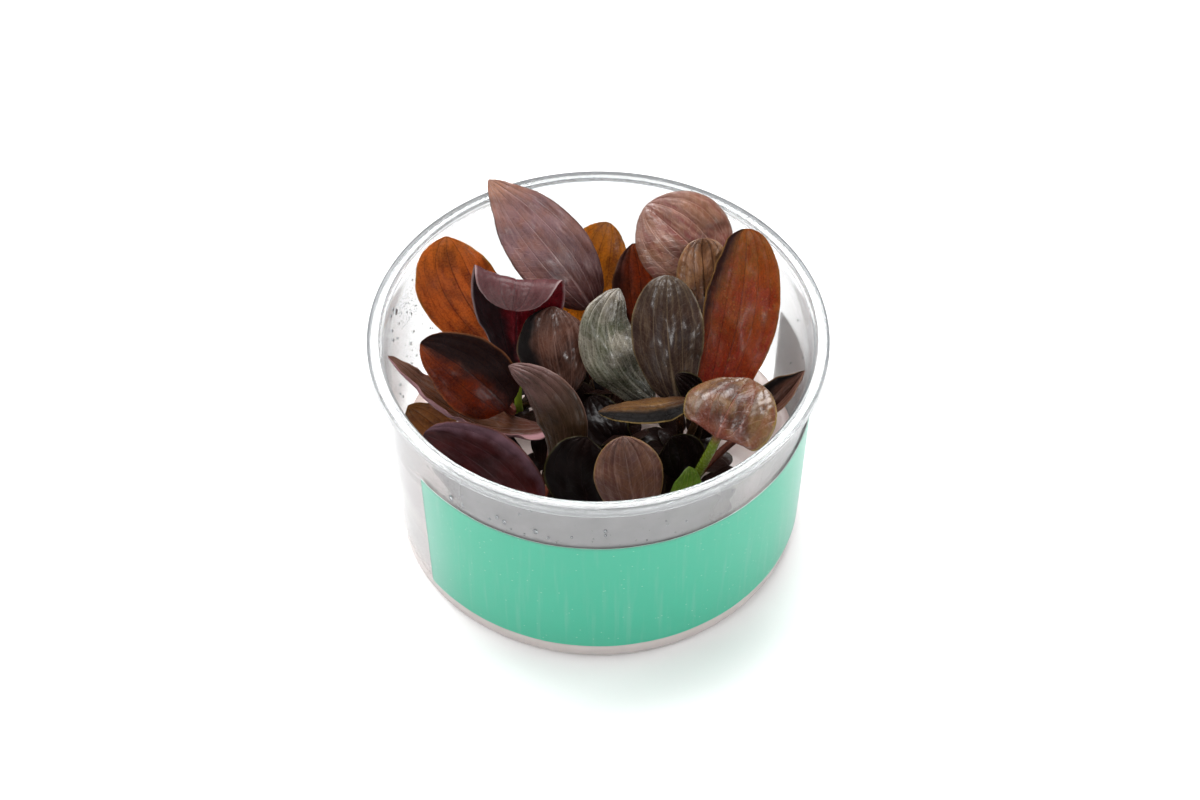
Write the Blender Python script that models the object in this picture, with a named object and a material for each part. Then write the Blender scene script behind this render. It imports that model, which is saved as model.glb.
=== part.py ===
"""Clump of small red sword plants, grown in gel in a clear cup with a wrapped label.

Built in metres with +Z up. The origin is the middle of the cup's foot, -Y is the front of the
label, +X is to the right of someone who looks at the front. Sizes below are in millimetres and
become metres when a mesh is finished.
"""
import math
from dataclasses import dataclass

import bmesh
import bpy
from mathutils import Matrix, Vector

MM = 0.001

# Cup
TURN_STEPS = 48
CUP_HEIGHT = 59.5
RIM_RADIUS = 52.5
RIM_SKIRT = 2.7
RIM_WALL = 0.8
LID_STEP_RADIUS = 49.8
LID_STEP_DEPTH = 1.5
WALL_FOOT_RADIUS = 46.9
WALL_TOP_RADIUS = 49.6
WALL = 0.7
FLOOR = 1.6
FOOT_CORNER = 1.5
FOOT_RECESS_RADIUS = 42.0
FOOT_RECESS = 0.6

# Touching pieces keep this gap
GAP = 0.3
LABEL_GAP = 0.38

# Label, with its ends as degrees from the front towards +X
LABEL_LOW = 5.0
LABEL_HIGH = 42.2
LABEL_START = -54.0
LABEL_END = 118.0
LABEL_THICKNESS = 0.2
LABEL_STEPS = 24

# Gel
GEL_TOP = 17.0
GEL_MENISCUS = 0.8

# Crowns
CROWN_RADIUS = 3.4
CROWN_TOP = 19.6
CROWN_SUNK = 3.0
PETIOLE_RING = 2.15

# Leaves
BLADE_HALF_THICKNESS = 0.25
RIB_DEPTH = 0.3
PETIOLE_RADIUS = 0.9
PETIOLE_STATIONS = 4
ARRIVAL = 0.7
BLADE_STATIONS = 9
LOW_STATIONS = 6
LOW_PETIOLE = 0.7
SPINE_SAMPLES = 60
SECTION_STEPS = 8
RIBS = (1.0, 0.5, 0.0, -0.5, -1.0)
CURLED_RIBS = (1.0, 0.85, 0.65, 0.0, -0.65, -0.85, -1.0)
CURL_START = 0.6

PLASTIC = (0.86, 0.88, 0.90)
LABEL_GREEN = (0.12, 0.53, 0.37)
GEL_PINK = (0.80, 0.70, 0.68)
CROWN_GREEN = (0.33, 0.40, 0.08)
MAUVE = (0.20, 0.10, 0.10)
RUST = (0.30, 0.06, 0.015)
GOLD = (0.42, 0.16, 0.02)
WINE = (0.14, 0.01, 0.02)
OLIVE = (0.07, 0.06, 0.045)
SILVER = (0.16, 0.16, 0.12)
DARK = (0.03, 0.008, 0.01)
BROWN = (0.16, 0.08, 0.04)

CROWNS = {
    "left": (-20.0, 12.0),
    "back": (1.0, 20.0),
    "back_right": (20.0, 21.0),
    "right": (21.0, -1.0),
    "middle": (1.0, 2.0),
    "front_left": (-13.0, -12.0),
    "front": (4.0, -24.0),
    "front_right": (18.0, -20.0),
}


@dataclass(frozen=True)
class Leaf:
    """One leaf: where its blade lies, how wide it is and how it is folded.

    The petiole starts on the named crown, on the side given by bearing in degrees from +X. heel,
    belly and tip are points of the midrib in millimetres. across points from the blade's left
    edge to its right edge, seen from above with the tip away. fold, cup and curl are the degrees
    by which each half rises at the midrib, over its width and at its margin, towards the upper
    face. hook turns the end of the blade over from the share hook_from of its length, and twist
    turns the blade about its midrib. broadest above 1 moves the widest place towards the tip, a
    smaller fullness makes a squarer outline, lobes draws the margin back at the heel, petiole
    is the petiole's radius, and stations is the number of cross sections along the blade.
    """

    name: str
    crown: str
    bearing: float
    heel: tuple
    belly: tuple
    tip: tuple
    across: tuple
    width: float
    colour: tuple
    fold: float = 0.0
    cup: float = 15.0
    curl_left: float = 0.0
    curl_right: float = 0.0
    hook: float = 0.0
    hook_from: float = 0.75
    twist: float = 0.0
    broadest: float = 1.0
    fullness: float = 0.62
    lobes: float = 0.0
    petiole: float = PETIOLE_RADIUS
    stations: int = BLADE_STATIONS


LEAVES = (
    Leaf("leaf_back_tall", "back", 250, heel=(-1.5, 23.5, 43), belly=(-11, 28, 57),
         tip=(-25.5, 38.5, 70), across=(0.8, 0.45, 0.4), width=18.5, colour=MAUVE, twist=20),
    Leaf("leaf_left_orange", "left", 120, heel=(-21, 20, 29), belly=(-32, 23, 49), tip=(-35,
         26, 64), across=(0.85, 0.25, 0.45), width=20, colour=RUST, cup=25, broadest=1.15,
         fullness=0.55),
    Leaf("leaf_curled_red", "left", 300, heel=(-19, 14, 34), belly=(-19, 18, 49), tip=(-18,
         20.5, 66), across=(-1, 0.15, 0.1), width=22.5, colour=WINE, hook=-150, hook_from=0.68,
         broadest=1.4, fullness=0.42),
    Leaf("leaf_back_gold", "back", 130, heel=(-2, 24.5, 32), belly=(-1.5, 29.5, 45),
         tip=(2.5, 36.5, 58), across=(1, -0.1, -0.1), width=18, colour=GOLD, fullness=0.5),
    Leaf("leaf_back_rust", "back", 20, heel=(10, 21.5, 37), belly=(10, 27, 46.5), tip=(8,
         32.5, 55), across=(1, 0.05, 0.05), width=14, colour=RUST),
    Leaf("leaf_back_round", "back_right", 60, heel=(27.5, 27, 52), belly=(19.5, 30.5, 59),
         tip=(11, 37, 63), across=(0.7, 0.5, 0.45), width=23, colour=MAUVE, cup=-10, fullness=0.5,
         lobes=0.15),
    Leaf("leaf_back_folded", "back_right", 330, heel=(25.3, 22.8, 41.8), belly=(24.4, 23.2,
         53.3), tip=(24.1, 26.1, 63.3), across=(1, 0.3, 0.05), width=13.4, colour=BROWN, fold=20,
         cup=-30, broadest=1.2, fullness=0.4),
    Leaf("leaf_right_long", "right", 75, heel=(26.5, 1.5, 32), belly=(32.6, 15.6, 48.3),
         tip=(34.2, 29.2, 63.3), across=(1, -0.15, -0.15), width=18.5, colour=RUST, cup=20,
         curl_left=40, broadest=1.1, fullness=0.42),
    Leaf("leaf_centre_olive", "right", 150, heel=(18, -2.5, 40), belly=(16, 5.5, 52), tip=(16,
         15.5, 62), across=(1, 0.05, 0.05), width=17, colour=OLIVE, cup=-15, broadest=1.1,
         fullness=0.45),
    Leaf("leaf_centre_silver", "middle", 10, heel=(12.5, 3.5, 33), belly=(3, 7.5, 46), tip=(5,
         18, 55), across=(0.95, 0.3, -0.05), width=15, colour=SILVER, cup=-30),
    Leaf("leaf_centre_brown", "middle", 150, heel=(-7.5, 3.5, 34), belly=(-10, 9, 44),
         tip=(-10.5, 17, 50), across=(1, 0.1, 0.1), width=19, colour=BROWN, cup=-35,
         broadest=1.15, fullness=0.5),
    Leaf("leaf_centre_small", "right", 320, heel=(23.5, -1.7, 38), belly=(21, -2.1, 43.5),
         tip=(17.7, -1.3, 46.6), across=(0.75, 0.5, 0.45), width=6, colour=DARK),
    Leaf("leaf_left_oval", "left", 230, heel=(-21.3, -5.5, 40.1), belly=(-29.8, -3.5, 50.3),
         tip=(-40.3, -1.3, 57.4), across=(0.65, 0.55, 0.5), width=18, colour=RUST, cup=30,
         broadest=0.8, fullness=0.55),
    Leaf("leaf_left_channel", "front_left", 60, heel=(-12, -4, 30.6), belly=(-30.5, -6.4,
         37.5), tip=(-47.8, -2.4, 54.1), across=(0.15, 0.93, -0.27), width=13, colour=MAUVE,
         fold=10, cup=15, curl_left=60, broadest=0.9, fullness=0.55),
    Leaf("leaf_left_low", "front_left", 240, heel=(-33, -5.6, 27.6), belly=(-38.5, -6.6,
         36.1), tip=(-43.5, -7.6, 43.1), across=(0.55, 0.35, 0.75), width=10, colour=GOLD),
    Leaf("leaf_front_left_broad", "front_left", 300, heel=(-15.5, -24.5, 24), belly=(-26.5,
         -20, 36), tip=(-39.5, -18, 45), across=(0.55, 0.6, 0.55), width=18.5, colour=DARK, cup=20,
         broadest=0.8, fullness=0.5),
    Leaf("leaf_front_arched", "front_left", 0, heel=(-9, -19, 30), belly=(-9, -12, 45),
         tip=(-20.5, -3.5, 52), across=(0.85, 0.05, 0.5), width=12, colour=MAUVE, cup=-25),
    Leaf("leaf_front_dark", "front", 150, heel=(-1, -24.5, 24), belly=(-4, -21, 36),
         tip=(-2.5, -18, 44), across=(1, 0.1, 0.1), width=17, colour=DARK),
    Leaf("leaf_front_brown", "front", 280, heel=(9.5, -30.5, 27), belly=(7, -26.5, 40),
         tip=(5.5, -23, 50), across=(1, 0.15, 0.15), width=16, colour=BROWN, cup=-20),
    Leaf("leaf_front_strip", "right", 245, heel=(21.5, -7.5, 44), belly=(10.5, -11, 46),
         tip=(0, -12, 46), across=(-0.05, 0.95, -0.3), width=11, colour=GOLD, cup=-20),
    Leaf("leaf_right_round", "front_right", 0, heel=(26.8, -21.6, 48.6), belly=(30, -17.2,
         54), tip=(34, -10.2, 55.3), across=(0.9, -0.3, 0.1), width=22.5, colour=BROWN, cup=-15,
         fullness=0.5, lobes=0.27, petiole=1.1),
    Leaf("leaf_right_channel", "front_right", 60, heel=(34, -9.3, 36), belly=(41, -9.2, 45),
         tip=(46.7, -7.6, 55), across=(0.55, -0.85, 0.1), width=12, colour=BROWN, fold=40),
    Leaf("leaf_right_low", "front_right", 130, heel=(18.7, -14, 25), belly=(18.6, -12.6, 32),
         tip=(16.5, -12, 37), across=(0.9, 0.3, 0.3), width=12, colour=DARK),
    Leaf("leaf_front_green", "front_right", 240, heel=(17.5, -27.5, 26), belly=(19.5, -26.5,
         34), tip=(20.5, -25, 42), across=(0.9, 0.3, 0.3), width=8, colour=CROWN_GREEN),
    Leaf("leaf_low_wet", "middle", 270, heel=(6, -5.5, 25), belly=(1.5, -0.5, 29), tip=(-2, 6,
         31), across=(0.7, 0.55, 0.5), width=11, colour=DARK, cup=30),
    Leaf("leaf_low_left", "left", 0, heel=(-13, 9.5, 25), belly=(-9.5, 8, 29), tip=(-5.5, 8.5,
         31), across=(0.4, 0.9, 0.1), width=8, colour=DARK, fullness=0.5, petiole=LOW_PETIOLE,
         stations=LOW_STATIONS),
    Leaf("leaf_low_back", "back", 180, heel=(-5.5, 19, 25), belly=(-9.5, 18, 29), tip=(-14,
         18.5, 31), across=(0.1, 1, 0.1), width=8, colour=BROWN, fullness=0.5, petiole=LOW_PETIOLE,
         stations=LOW_STATIONS),
    Leaf("leaf_low_back_right", "back_right", 200, heel=(14, 17, 26), belly=(10.5, 14, 30),
         tip=(7, 12.5, 32), across=(-0.6, 0.8, 0.1), width=8, colour=DARK, fullness=0.5,
         petiole=LOW_PETIOLE, stations=LOW_STATIONS),
    Leaf("leaf_low_middle", "middle", 210, heel=(-4.5, -1.5, 26), belly=(-8, -1.5, 31),
         tip=(-11, 0.5, 34), across=(0.2, 1, 0.1), width=7, colour=CROWN_GREEN, fullness=0.5,
         petiole=LOW_PETIOLE, stations=LOW_STATIONS),
    Leaf("leaf_low_centre", "middle", 80, heel=(2.5, 8, 26), belly=(3, 11.5, 31), tip=(2, 15,
         34), across=(1, 0, 0.1), width=9, colour=BROWN, fullness=0.5, petiole=LOW_PETIOLE,
         stations=LOW_STATIONS),
    Leaf("leaf_low_front_left", "front_left", 150, heel=(-18, -7.5, 24), belly=(-23, -5, 28),
         tip=(-29, -3.5, 30.5), across=(0.3, 0.9, 0), width=7, colour=DARK, fullness=0.5,
         petiole=LOW_PETIOLE, stations=LOW_STATIONS),
    Leaf("leaf_low_front", "front", 90, heel=(5, -17.5, 25), belly=(5.5, -14, 29), tip=(5,
         -10.5, 31), across=(1, 0, 0.1), width=8, colour=DARK, fullness=0.5, petiole=LOW_PETIOLE,
         stations=LOW_STATIONS),
    Leaf("leaf_low_front_olive", "front", 215, heel=(-4, -29.5, 25), belly=(-8.5, -29.5, 29),
         tip=(-12.5, -29, 32), across=(0.1, 1, 0.1), width=7, colour=OLIVE, fullness=0.5,
         petiole=LOW_PETIOLE, stations=LOW_STATIONS),
    Leaf("leaf_low_front_right", "front_right", 300, heel=(23, -26, 25), belly=(26.5, -27.5,
         29), tip=(30, -28.5, 32), across=(-0.4, -0.9, 0.1), width=8, colour=BROWN, fullness=0.5,
         petiole=LOW_PETIOLE, stations=LOW_STATIONS),
)


def clear_scene():
    """Remove every object that the file opened with."""
    for old in list(bpy.data.objects):
        bpy.data.objects.remove(old, do_unlink=True)


def plain_material(name, colour, roughness, transmission=0.0):
    """Return a Principled material of one colour."""
    material = bpy.data.materials.new(name)
    material.use_nodes = True
    shader = material.node_tree.nodes["Principled BSDF"]
    shader.inputs["Base Color"].default_value = (*colour, 1.0)
    shader.inputs["Roughness"].default_value = roughness
    shader.inputs["Metallic"].default_value = 0.0
    shader.inputs["Transmission Weight"].default_value = transmission
    return material


def finish_object(name, mesh_maker, material, sharp_angle=40.0):
    """Turn a bmesh drawn in millimetres into a smooth-shaded object in metres."""
    bmesh.ops.recalc_face_normals(mesh_maker, faces=mesh_maker.faces)
    bmesh.ops.scale(mesh_maker, vec=(MM, MM, MM), verts=mesh_maker.verts)
    mesh = bpy.data.meshes.new(name)
    mesh_maker.to_mesh(mesh)
    mesh_maker.free()
    mesh.shade_smooth()
    mesh.set_sharp_from_angle(angle=math.radians(sharp_angle))
    mesh.materials.append(material)
    made = bpy.data.objects.new(name, mesh)
    bpy.context.scene.collection.objects.link(made)
    return made


def profile_edges(mesh_maker, profile, closed=False):
    """Draw a profile of (radius, height) pairs in the XZ plane and return its geometry."""
    verts = [mesh_maker.verts.new((radius, 0.0, height)) for radius, height in profile]
    pairs = list(zip(verts, verts[1:]))
    if closed:
        pairs.append((verts[-1], verts[0]))
    edges = [mesh_maker.edges.new(pair) for pair in pairs]
    return verts + edges


def turned(profile, steps=TURN_STEPS):
    """Spin a profile, which starts and ends on the axis, into a closed solid."""
    mesh_maker = bmesh.new()
    bmesh.ops.spin(mesh_maker, geom=profile_edges(mesh_maker, profile), cent=(0, 0, 0),
                   axis=(0, 0, 1), angle=math.tau, steps=steps, use_merge=True)
    bmesh.ops.remove_doubles(mesh_maker, verts=mesh_maker.verts, dist=0.001)
    return mesh_maker


def outer_radius(height):
    """Radius of the wall's outer face at a height."""
    return WALL_FOOT_RADIUS + (WALL_TOP_RADIUS - WALL_FOOT_RADIUS) * height / CUP_HEIGHT


def corner(centre_radius, centre_height, radius, start, end, points=3):
    """Points of a rounded corner, from one angle in degrees to another."""
    for index in range(points):
        angle = math.radians(start + (end - start) * index / (points - 1))
        yield (centre_radius + radius * math.cos(angle), centre_height + radius * math.sin(angle))


def build_cup():
    """Cup: recessed foot, tapered wall, flange with a hanging skirt, and a step for the lid."""
    skirt_low = CUP_HEIGHT - RIM_SKIRT
    flange_low = CUP_HEIGHT - RIM_WALL
    step_height = CUP_HEIGHT - LID_STEP_DEPTH
    skirt_inner = RIM_RADIUS - RIM_WALL
    wall_inner = outer_radius(step_height) - WALL
    profile = [(0.0, FOOT_RECESS), (FOOT_RECESS_RADIUS, FOOT_RECESS),
               (FOOT_RECESS_RADIUS + FOOT_RECESS, 0.0)]
    profile += corner(outer_radius(0) - FOOT_CORNER, FOOT_CORNER, FOOT_CORNER, -90, 0)
    profile += [(outer_radius(flange_low), flange_low), (skirt_inner, flange_low),
                (skirt_inner, skirt_low), (RIM_RADIUS, skirt_low)]
    profile += corner(RIM_RADIUS - RIM_WALL, flange_low, RIM_WALL, 0, 90)
    profile += [(LID_STEP_RADIUS, CUP_HEIGHT), (LID_STEP_RADIUS, step_height),
                (wall_inner, step_height - 0.3)]
    profile += corner(outer_radius(FLOOR) - WALL - FOOT_CORNER, FLOOR + FOOT_CORNER,
                      FOOT_CORNER, 0, -90)
    profile += [(0.0, FLOOR)]
    return finish_object("cup", turned(profile), plain_material("clear_plastic", PLASTIC, 0.05, 1.0))


def build_label():
    """Label: a thin sheet bent round the cone of the wall."""
    inner_low = outer_radius(LABEL_LOW) + LABEL_GAP
    inner_high = outer_radius(LABEL_HIGH) + LABEL_GAP
    section = [(inner_low, LABEL_LOW), (inner_low + LABEL_THICKNESS, LABEL_LOW),
               (inner_high + LABEL_THICKNESS, LABEL_HIGH), (inner_high, LABEL_HIGH)]
    mesh_maker = bmesh.new()
    geometry = profile_edges(mesh_maker, section, closed=True)
    front = Matrix.Rotation(math.radians(LABEL_START - 90.0), 3, "Z")
    bmesh.ops.rotate(mesh_maker, cent=(0, 0, 0), matrix=front, verts=mesh_maker.verts)
    bmesh.ops.spin(mesh_maker, geom=geometry, cent=(0, 0, 0), axis=(0, 0, 1),
                   angle=math.radians(LABEL_END - LABEL_START), steps=LABEL_STEPS)
    bmesh.ops.holes_fill(mesh_maker, edges=mesh_maker.edges, sides=4)
    return finish_object("label", mesh_maker, plain_material("label_paper", LABEL_GREEN, 0.5))


def crown_profile(grow=0.0):
    """Half outline of a crown, made larger all round by grow."""
    low = GEL_TOP - CROWN_SUNK - grow
    radius = CROWN_RADIUS + grow
    return [(0.0, low), (radius * 0.7, low), (radius, low + 1.2), (radius, GEL_TOP + grow),
            (radius * 0.85, CROWN_TOP + grow), (0.0, CROWN_TOP + grow)]


def build_gel():
    """Gel: a low disc that climbs a little up the wall, with a socket for each crown."""
    edge = outer_radius(GEL_TOP) - WALL - GAP
    foot = outer_radius(FLOOR) - WALL - GAP
    low = FLOOR + GAP
    profile = [(0.0, low), (foot - FOOT_CORNER, low), (foot - 0.4 * FOOT_CORNER, low + 0.6),
               (foot + 0.05, low + 1.8), (edge, GEL_TOP + GEL_MENISCUS), (edge - 1.5, GEL_TOP),
               (0.0, GEL_TOP)]
    gel = finish_object("gel", turned(profile), plain_material("culture_gel", GEL_PINK, 0.2, 0.5))
    for name, (x, y) in CROWNS.items():
        mesh_maker = turned(crown_profile(GAP), steps=12)
        bmesh.ops.translate(mesh_maker, vec=(x, y, 0.0), verts=mesh_maker.verts)
        cutter = finish_object("socket_" + name, mesh_maker, gel.data.materials[0])
        cutter.hide_render = True
        cutter.display_type = "WIRE"
        cut = gel.modifiers.new("socket_" + name, "BOOLEAN")
        cut.operation = "DIFFERENCE"
        cut.object = cutter
    return gel


def build_crown(name, place):
    """Crown of one plantlet: a short stem base, half sunk in the gel."""
    mesh_maker = turned(crown_profile(), steps=12)
    bmesh.ops.translate(mesh_maker, vec=(*place, 0.0), verts=mesh_maker.verts)
    return finish_object("crown_" + name, mesh_maker, plain_material("crown_" + name, CROWN_GREEN, 0.5))


def smooth_step(value):
    """Ease from 0 to 1 and hold outside that range."""
    value = min(1.0, max(0.0, value))
    return value * value * (3.0 - 2.0 * value)


def blade_spine(leaf):
    """Points and directions along the midrib, with the end turned over where it hooks."""
    heel, belly, tip = Vector(leaf.heel), Vector(leaf.belly), Vector(leaf.tip)
    control = 2.0 * belly - 0.5 * (heel + tip)
    across = Vector(leaf.across)
    point = heel.copy()
    samples = []
    for index in range(SPINE_SAMPLES + 1):
        t = index / SPINE_SAMPLES
        slope = 2.0 * ((1.0 - t) * (control - heel) + t * (tip - control))
        if leaf.hook:
            share = smooth_step((t - leaf.hook_from) / 0.2)
            side = (across - across.project(slope)).normalized()
            slope = Matrix.Rotation(math.radians(leaf.hook) * share, 3, side) @ slope
        samples.append((point.copy(), slope.normalized()))
        point += slope / SPINE_SAMPLES
    return samples


def petiole_root(leaf):
    """Point on top of the crown where the petiole starts."""
    x, y = CROWNS[leaf.crown]
    angle = math.radians(leaf.bearing)
    return Vector((x + PETIOLE_RING * math.cos(angle), y + PETIOLE_RING * math.sin(angle),
                   CROWN_TOP + GAP))


def petiole_spine(leaf, heel, direction):
    """Points and directions of the petiole, upright at the crown and in line at the heel."""
    root = petiole_root(leaf)
    reach = (heel - root).length
    leave = Vector((0.0, 0.0, reach))
    arrive = direction * reach * ARRIVAL
    for index in range(PETIOLE_STATIONS):
        t = index / PETIOLE_STATIONS
        point = ((2 * t**3 - 3 * t**2 + 1) * root + (t**3 - 2 * t**2 + t) * leave
                 + (3 * t**2 - 2 * t**3) * heel + (t**3 - t**2) * arrive)
        slope = ((6 * t**2 - 6 * t) * (root - heel) + (3 * t**2 - 4 * t + 1) * leave
                 + (3 * t**2 - 2 * t) * arrive)
        yield point, slope.normalized()


def section_point(leaf, across_share):
    """Place and lean of the blade's middle surface at a share of the half width."""
    curl = leaf.curl_right if across_share > 0.0 else leaf.curl_left
    side = 1.0 if across_share >= 0.0 else -1.0
    reach = abs(across_share)
    out = rise = lean = 0.0
    for index in range(SECTION_STEPS):
        t = reach * (index + 0.5) / SECTION_STEPS
        margin = smooth_step((t - CURL_START) / (1.0 - CURL_START))
        lean = math.radians(leaf.fold + leaf.cup * t + curl * margin)
        out += math.cos(lean) * reach / SECTION_STEPS
        rise += math.sin(lean) * reach / SECTION_STEPS
    return side * out, rise, side * lean


def blade_width(leaf, s):
    """Half width at a share of the blade's length."""
    swell = math.sin(math.pi * min(1.0, s**leaf.broadest)) if 0.0 < s < 1.0 else 0.0
    return 0.5 * leaf.width * swell**leaf.fullness


def leaf_ring(leaf, point, slope, s):
    """The points of one closed cross section, s being below 0 on the petiole."""
    across = Vector(leaf.across)
    side = (across - across.project(slope)).normalized()
    side = Matrix.Rotation(math.radians(leaf.twist) * (max(s, 0.0) - 0.5), 3, slope) @ side
    up = side.cross(slope)
    flat = smooth_step(s / 0.3)
    half_width = blade_width(leaf, s) + leaf.petiole * (1.0 - smooth_step(s / 0.25))
    sweep = leaf.lobes * leaf.width * (1.0 - max(s, 0.0)) ** 2 * flat
    upper, lower = [], []
    for share in CURLED_RIBS if leaf.curl_left or leaf.curl_right else RIBS:
        out, rise, lean = section_point(leaf, share)
        out = share + (out - share) * flat
        rise *= flat
        round_half = leaf.petiole * math.sqrt(1.0 - share * share)
        above = round_half + (BLADE_HALF_THICKNESS - round_half) * flat
        below = above + (RIB_DEPTH * (1.0 - s) * flat if share == 0.0 else 0.0)
        middle = point + half_width * (out * side + rise * up) - sweep * share * share * slope
        normal = math.cos(lean * flat) * up - math.sin(lean * flat) * side
        if abs(share) == 1.0:
            upper.append(middle)
        else:
            upper.append(middle + above * normal)
            lower.append(middle - below * normal)
    return upper + lower[::-1]


def build_leaf(leaf):
    """Leaf: a ring at the crown, extruded station by station and closed at the tip."""
    spine = blade_spine(leaf)
    heel, direction = spine[0]
    stations = [(point, slope, -1.0) for point, slope in petiole_spine(leaf, heel, direction)]
    for index in range(leaf.stations):
        s = 0.5 - 0.5 * math.cos(math.pi * index / leaf.stations)
        point, slope = spine[round(s * SPINE_SAMPLES)]
        stations.append((point, slope, s))
    mesh_maker = bmesh.new()
    first = leaf_ring(leaf, *stations[0])
    made = bmesh.ops.create_circle(mesh_maker, cap_ends=True, segments=len(first), radius=1.0)
    ring = made["verts"]
    for vert, place in zip(ring, first):
        vert.co = place
    for station in stations[1:]:
        edges = [mesh_maker.edges.get((a, b)) for a, b in zip(ring, ring[1:] + ring[:1])]
        made = bmesh.ops.extrude_edge_only(mesh_maker, edges=edges)
        old_places = [vert.co.copy() for vert in ring]
        new = [item for item in made["geom"] if isinstance(item, bmesh.types.BMVert)]
        ring = [min(new, key=lambda vert: (vert.co - old).length) for old in old_places]
        for vert, place in zip(ring, leaf_ring(leaf, *station)):
            vert.co = place
    edges = [mesh_maker.edges.get((a, b)) for a, b in zip(ring, ring[1:] + ring[:1])]
    made = bmesh.ops.extrude_edge_only(mesh_maker, edges=edges)
    end = [item for item in made["geom"] if isinstance(item, bmesh.types.BMVert)]
    bmesh.ops.pointmerge(mesh_maker, verts=end, merge_co=spine[-1][0])
    material = plain_material(leaf.name, leaf.colour, 0.35)
    return finish_object(leaf.name, mesh_maker, material, sharp_angle=80.0)


def main():
    """Build every piece."""
    clear_scene()
    build_cup()
    build_label()
    build_gel()
    for name, place in CROWNS.items():
        build_crown(name, place)
    for leaf in LEAVES:
        build_leaf(leaf)


main()
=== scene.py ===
"""Looks of a clump of young red sword plants, rooted in gel in a clear round cup.

Sizes are in millimetres and become metres where a mesh is finished. +Z is up, -Y is the front of
the label, and +X is to the right of someone who looks at that front.
"""
import logging
import math
from dataclasses import dataclass, field
from enum import Enum
from typing import Callable, Optional, Sequence, Union

import bmesh
import bpy
import numpy as np
from mathutils import Matrix, Vector


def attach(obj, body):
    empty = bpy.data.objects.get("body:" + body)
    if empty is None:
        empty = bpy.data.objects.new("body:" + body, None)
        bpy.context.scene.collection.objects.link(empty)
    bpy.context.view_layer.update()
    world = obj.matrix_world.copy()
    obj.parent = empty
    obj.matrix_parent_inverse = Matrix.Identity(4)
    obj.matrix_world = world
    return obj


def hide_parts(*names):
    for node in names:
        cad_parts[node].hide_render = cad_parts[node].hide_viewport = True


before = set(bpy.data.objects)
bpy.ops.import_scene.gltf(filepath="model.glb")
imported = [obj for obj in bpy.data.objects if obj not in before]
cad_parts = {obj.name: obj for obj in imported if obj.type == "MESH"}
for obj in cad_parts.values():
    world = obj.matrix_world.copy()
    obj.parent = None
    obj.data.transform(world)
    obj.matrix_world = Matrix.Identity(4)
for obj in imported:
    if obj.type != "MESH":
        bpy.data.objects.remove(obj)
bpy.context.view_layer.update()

LOG = logging.getLogger("sword_plants")
MM = 0.001
SHARP_ANGLE = 38.0
PROFILE_MERGE = 0.0005
SKIN_MERGE = 0.002
SHORT_LEAF_HEEL = 21.5
Colour = tuple[float, float, float]
Point = tuple[float, float, float]
Number = Union[int, float]


def ink(red: int, green: int, blue: int) -> Colour:
    """Return a display colour, 0 to 255 a channel, as the linear colour a shader takes."""
    return tuple((part / 255.0 / 12.92) if part <= 10 else ((part / 255.0 + 0.055) / 1.055) ** 2.4
                 for part in (red, green, blue))


def ease(value: np.ndarray, low: float = 0.0, high: float = 1.0) -> np.ndarray:
    """Rise smoothly from 0 at low to 1 at high.

    Args:
        value: Numbers to ease.
        low: Where the rise starts.
        high: Where the rise ends.

    Returns:
        The eased numbers, from 0 to 1.
    """
    share = np.clip((np.asarray(value, float) - low) / (high - low), 0.0, 1.0)
    return share * share * (3.0 - 2.0 * share)


# Shader maths


class Field:
    """A socket that takes part in sums as a number does."""

    def __init__(self, graph: "Graph", socket: bpy.types.NodeSocket) -> None:
        """Hold a socket of a graph."""
        self.graph = graph
        self.socket = socket

    def _sum(self, operation: str, *terms: Union["Field", Number]) -> "Field":
        """Return the outcome of one Math node on the terms."""
        values = {index: term for index, term in enumerate(terms)}
        return self.graph.field("ShaderNodeMath", {"operation": operation}, values)

    def __add__(self, other: Union["Field", Number]) -> "Field":
        """Return self + other."""
        return self._sum("ADD", self, other)

    __radd__ = __add__

    def __sub__(self, other: Union["Field", Number]) -> "Field":
        """Return self - other."""
        return self._sum("SUBTRACT", self, other)

    def __rsub__(self, other: Union["Field", Number]) -> "Field":
        """Return other - self."""
        return self._sum("SUBTRACT", other, self)

    def __mul__(self, other: Union["Field", Number]) -> "Field":
        """Return self * other."""
        return self._sum("MULTIPLY", self, other)

    __rmul__ = __mul__

    def __truediv__(self, other: Union["Field", Number]) -> "Field":
        """Return self / other."""
        return self._sum("DIVIDE", self, other)

    def __abs__(self) -> "Field":
        """Return the size of self, without its sign."""
        return self._sum("ABSOLUTE", self)

    def swing(self, half_period: float) -> "Field":
        """Return a triangle wave that runs from 0 to half_period and back."""
        return self._sum("PINGPONG", self, half_period)

    def most(self, other: Union["Field", Number]) -> "Field":
        """Return the larger of self and other."""
        return self._sum("MAXIMUM", self, other)

    def least(self, other: Union["Field", Number]) -> "Field":
        """Return the smaller of self and other."""
        return self._sum("MINIMUM", self, other)

    def rise(self, low: float, high: float) -> "Field":
        """Return self eased from 0 at low to 1 at high, or from 1 to 0 where high is below low."""
        if high < low:
            return 1.0 - self.rise(high, low)
        values = {"Value": self, "From Min": low, "From Max": high}
        return self.graph.field("ShaderNodeMapRange", {"interpolation_type": "SMOOTHSTEP"}, values,
                                "Result")


Value = Union[Field, Number, Sequence[float]]


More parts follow.
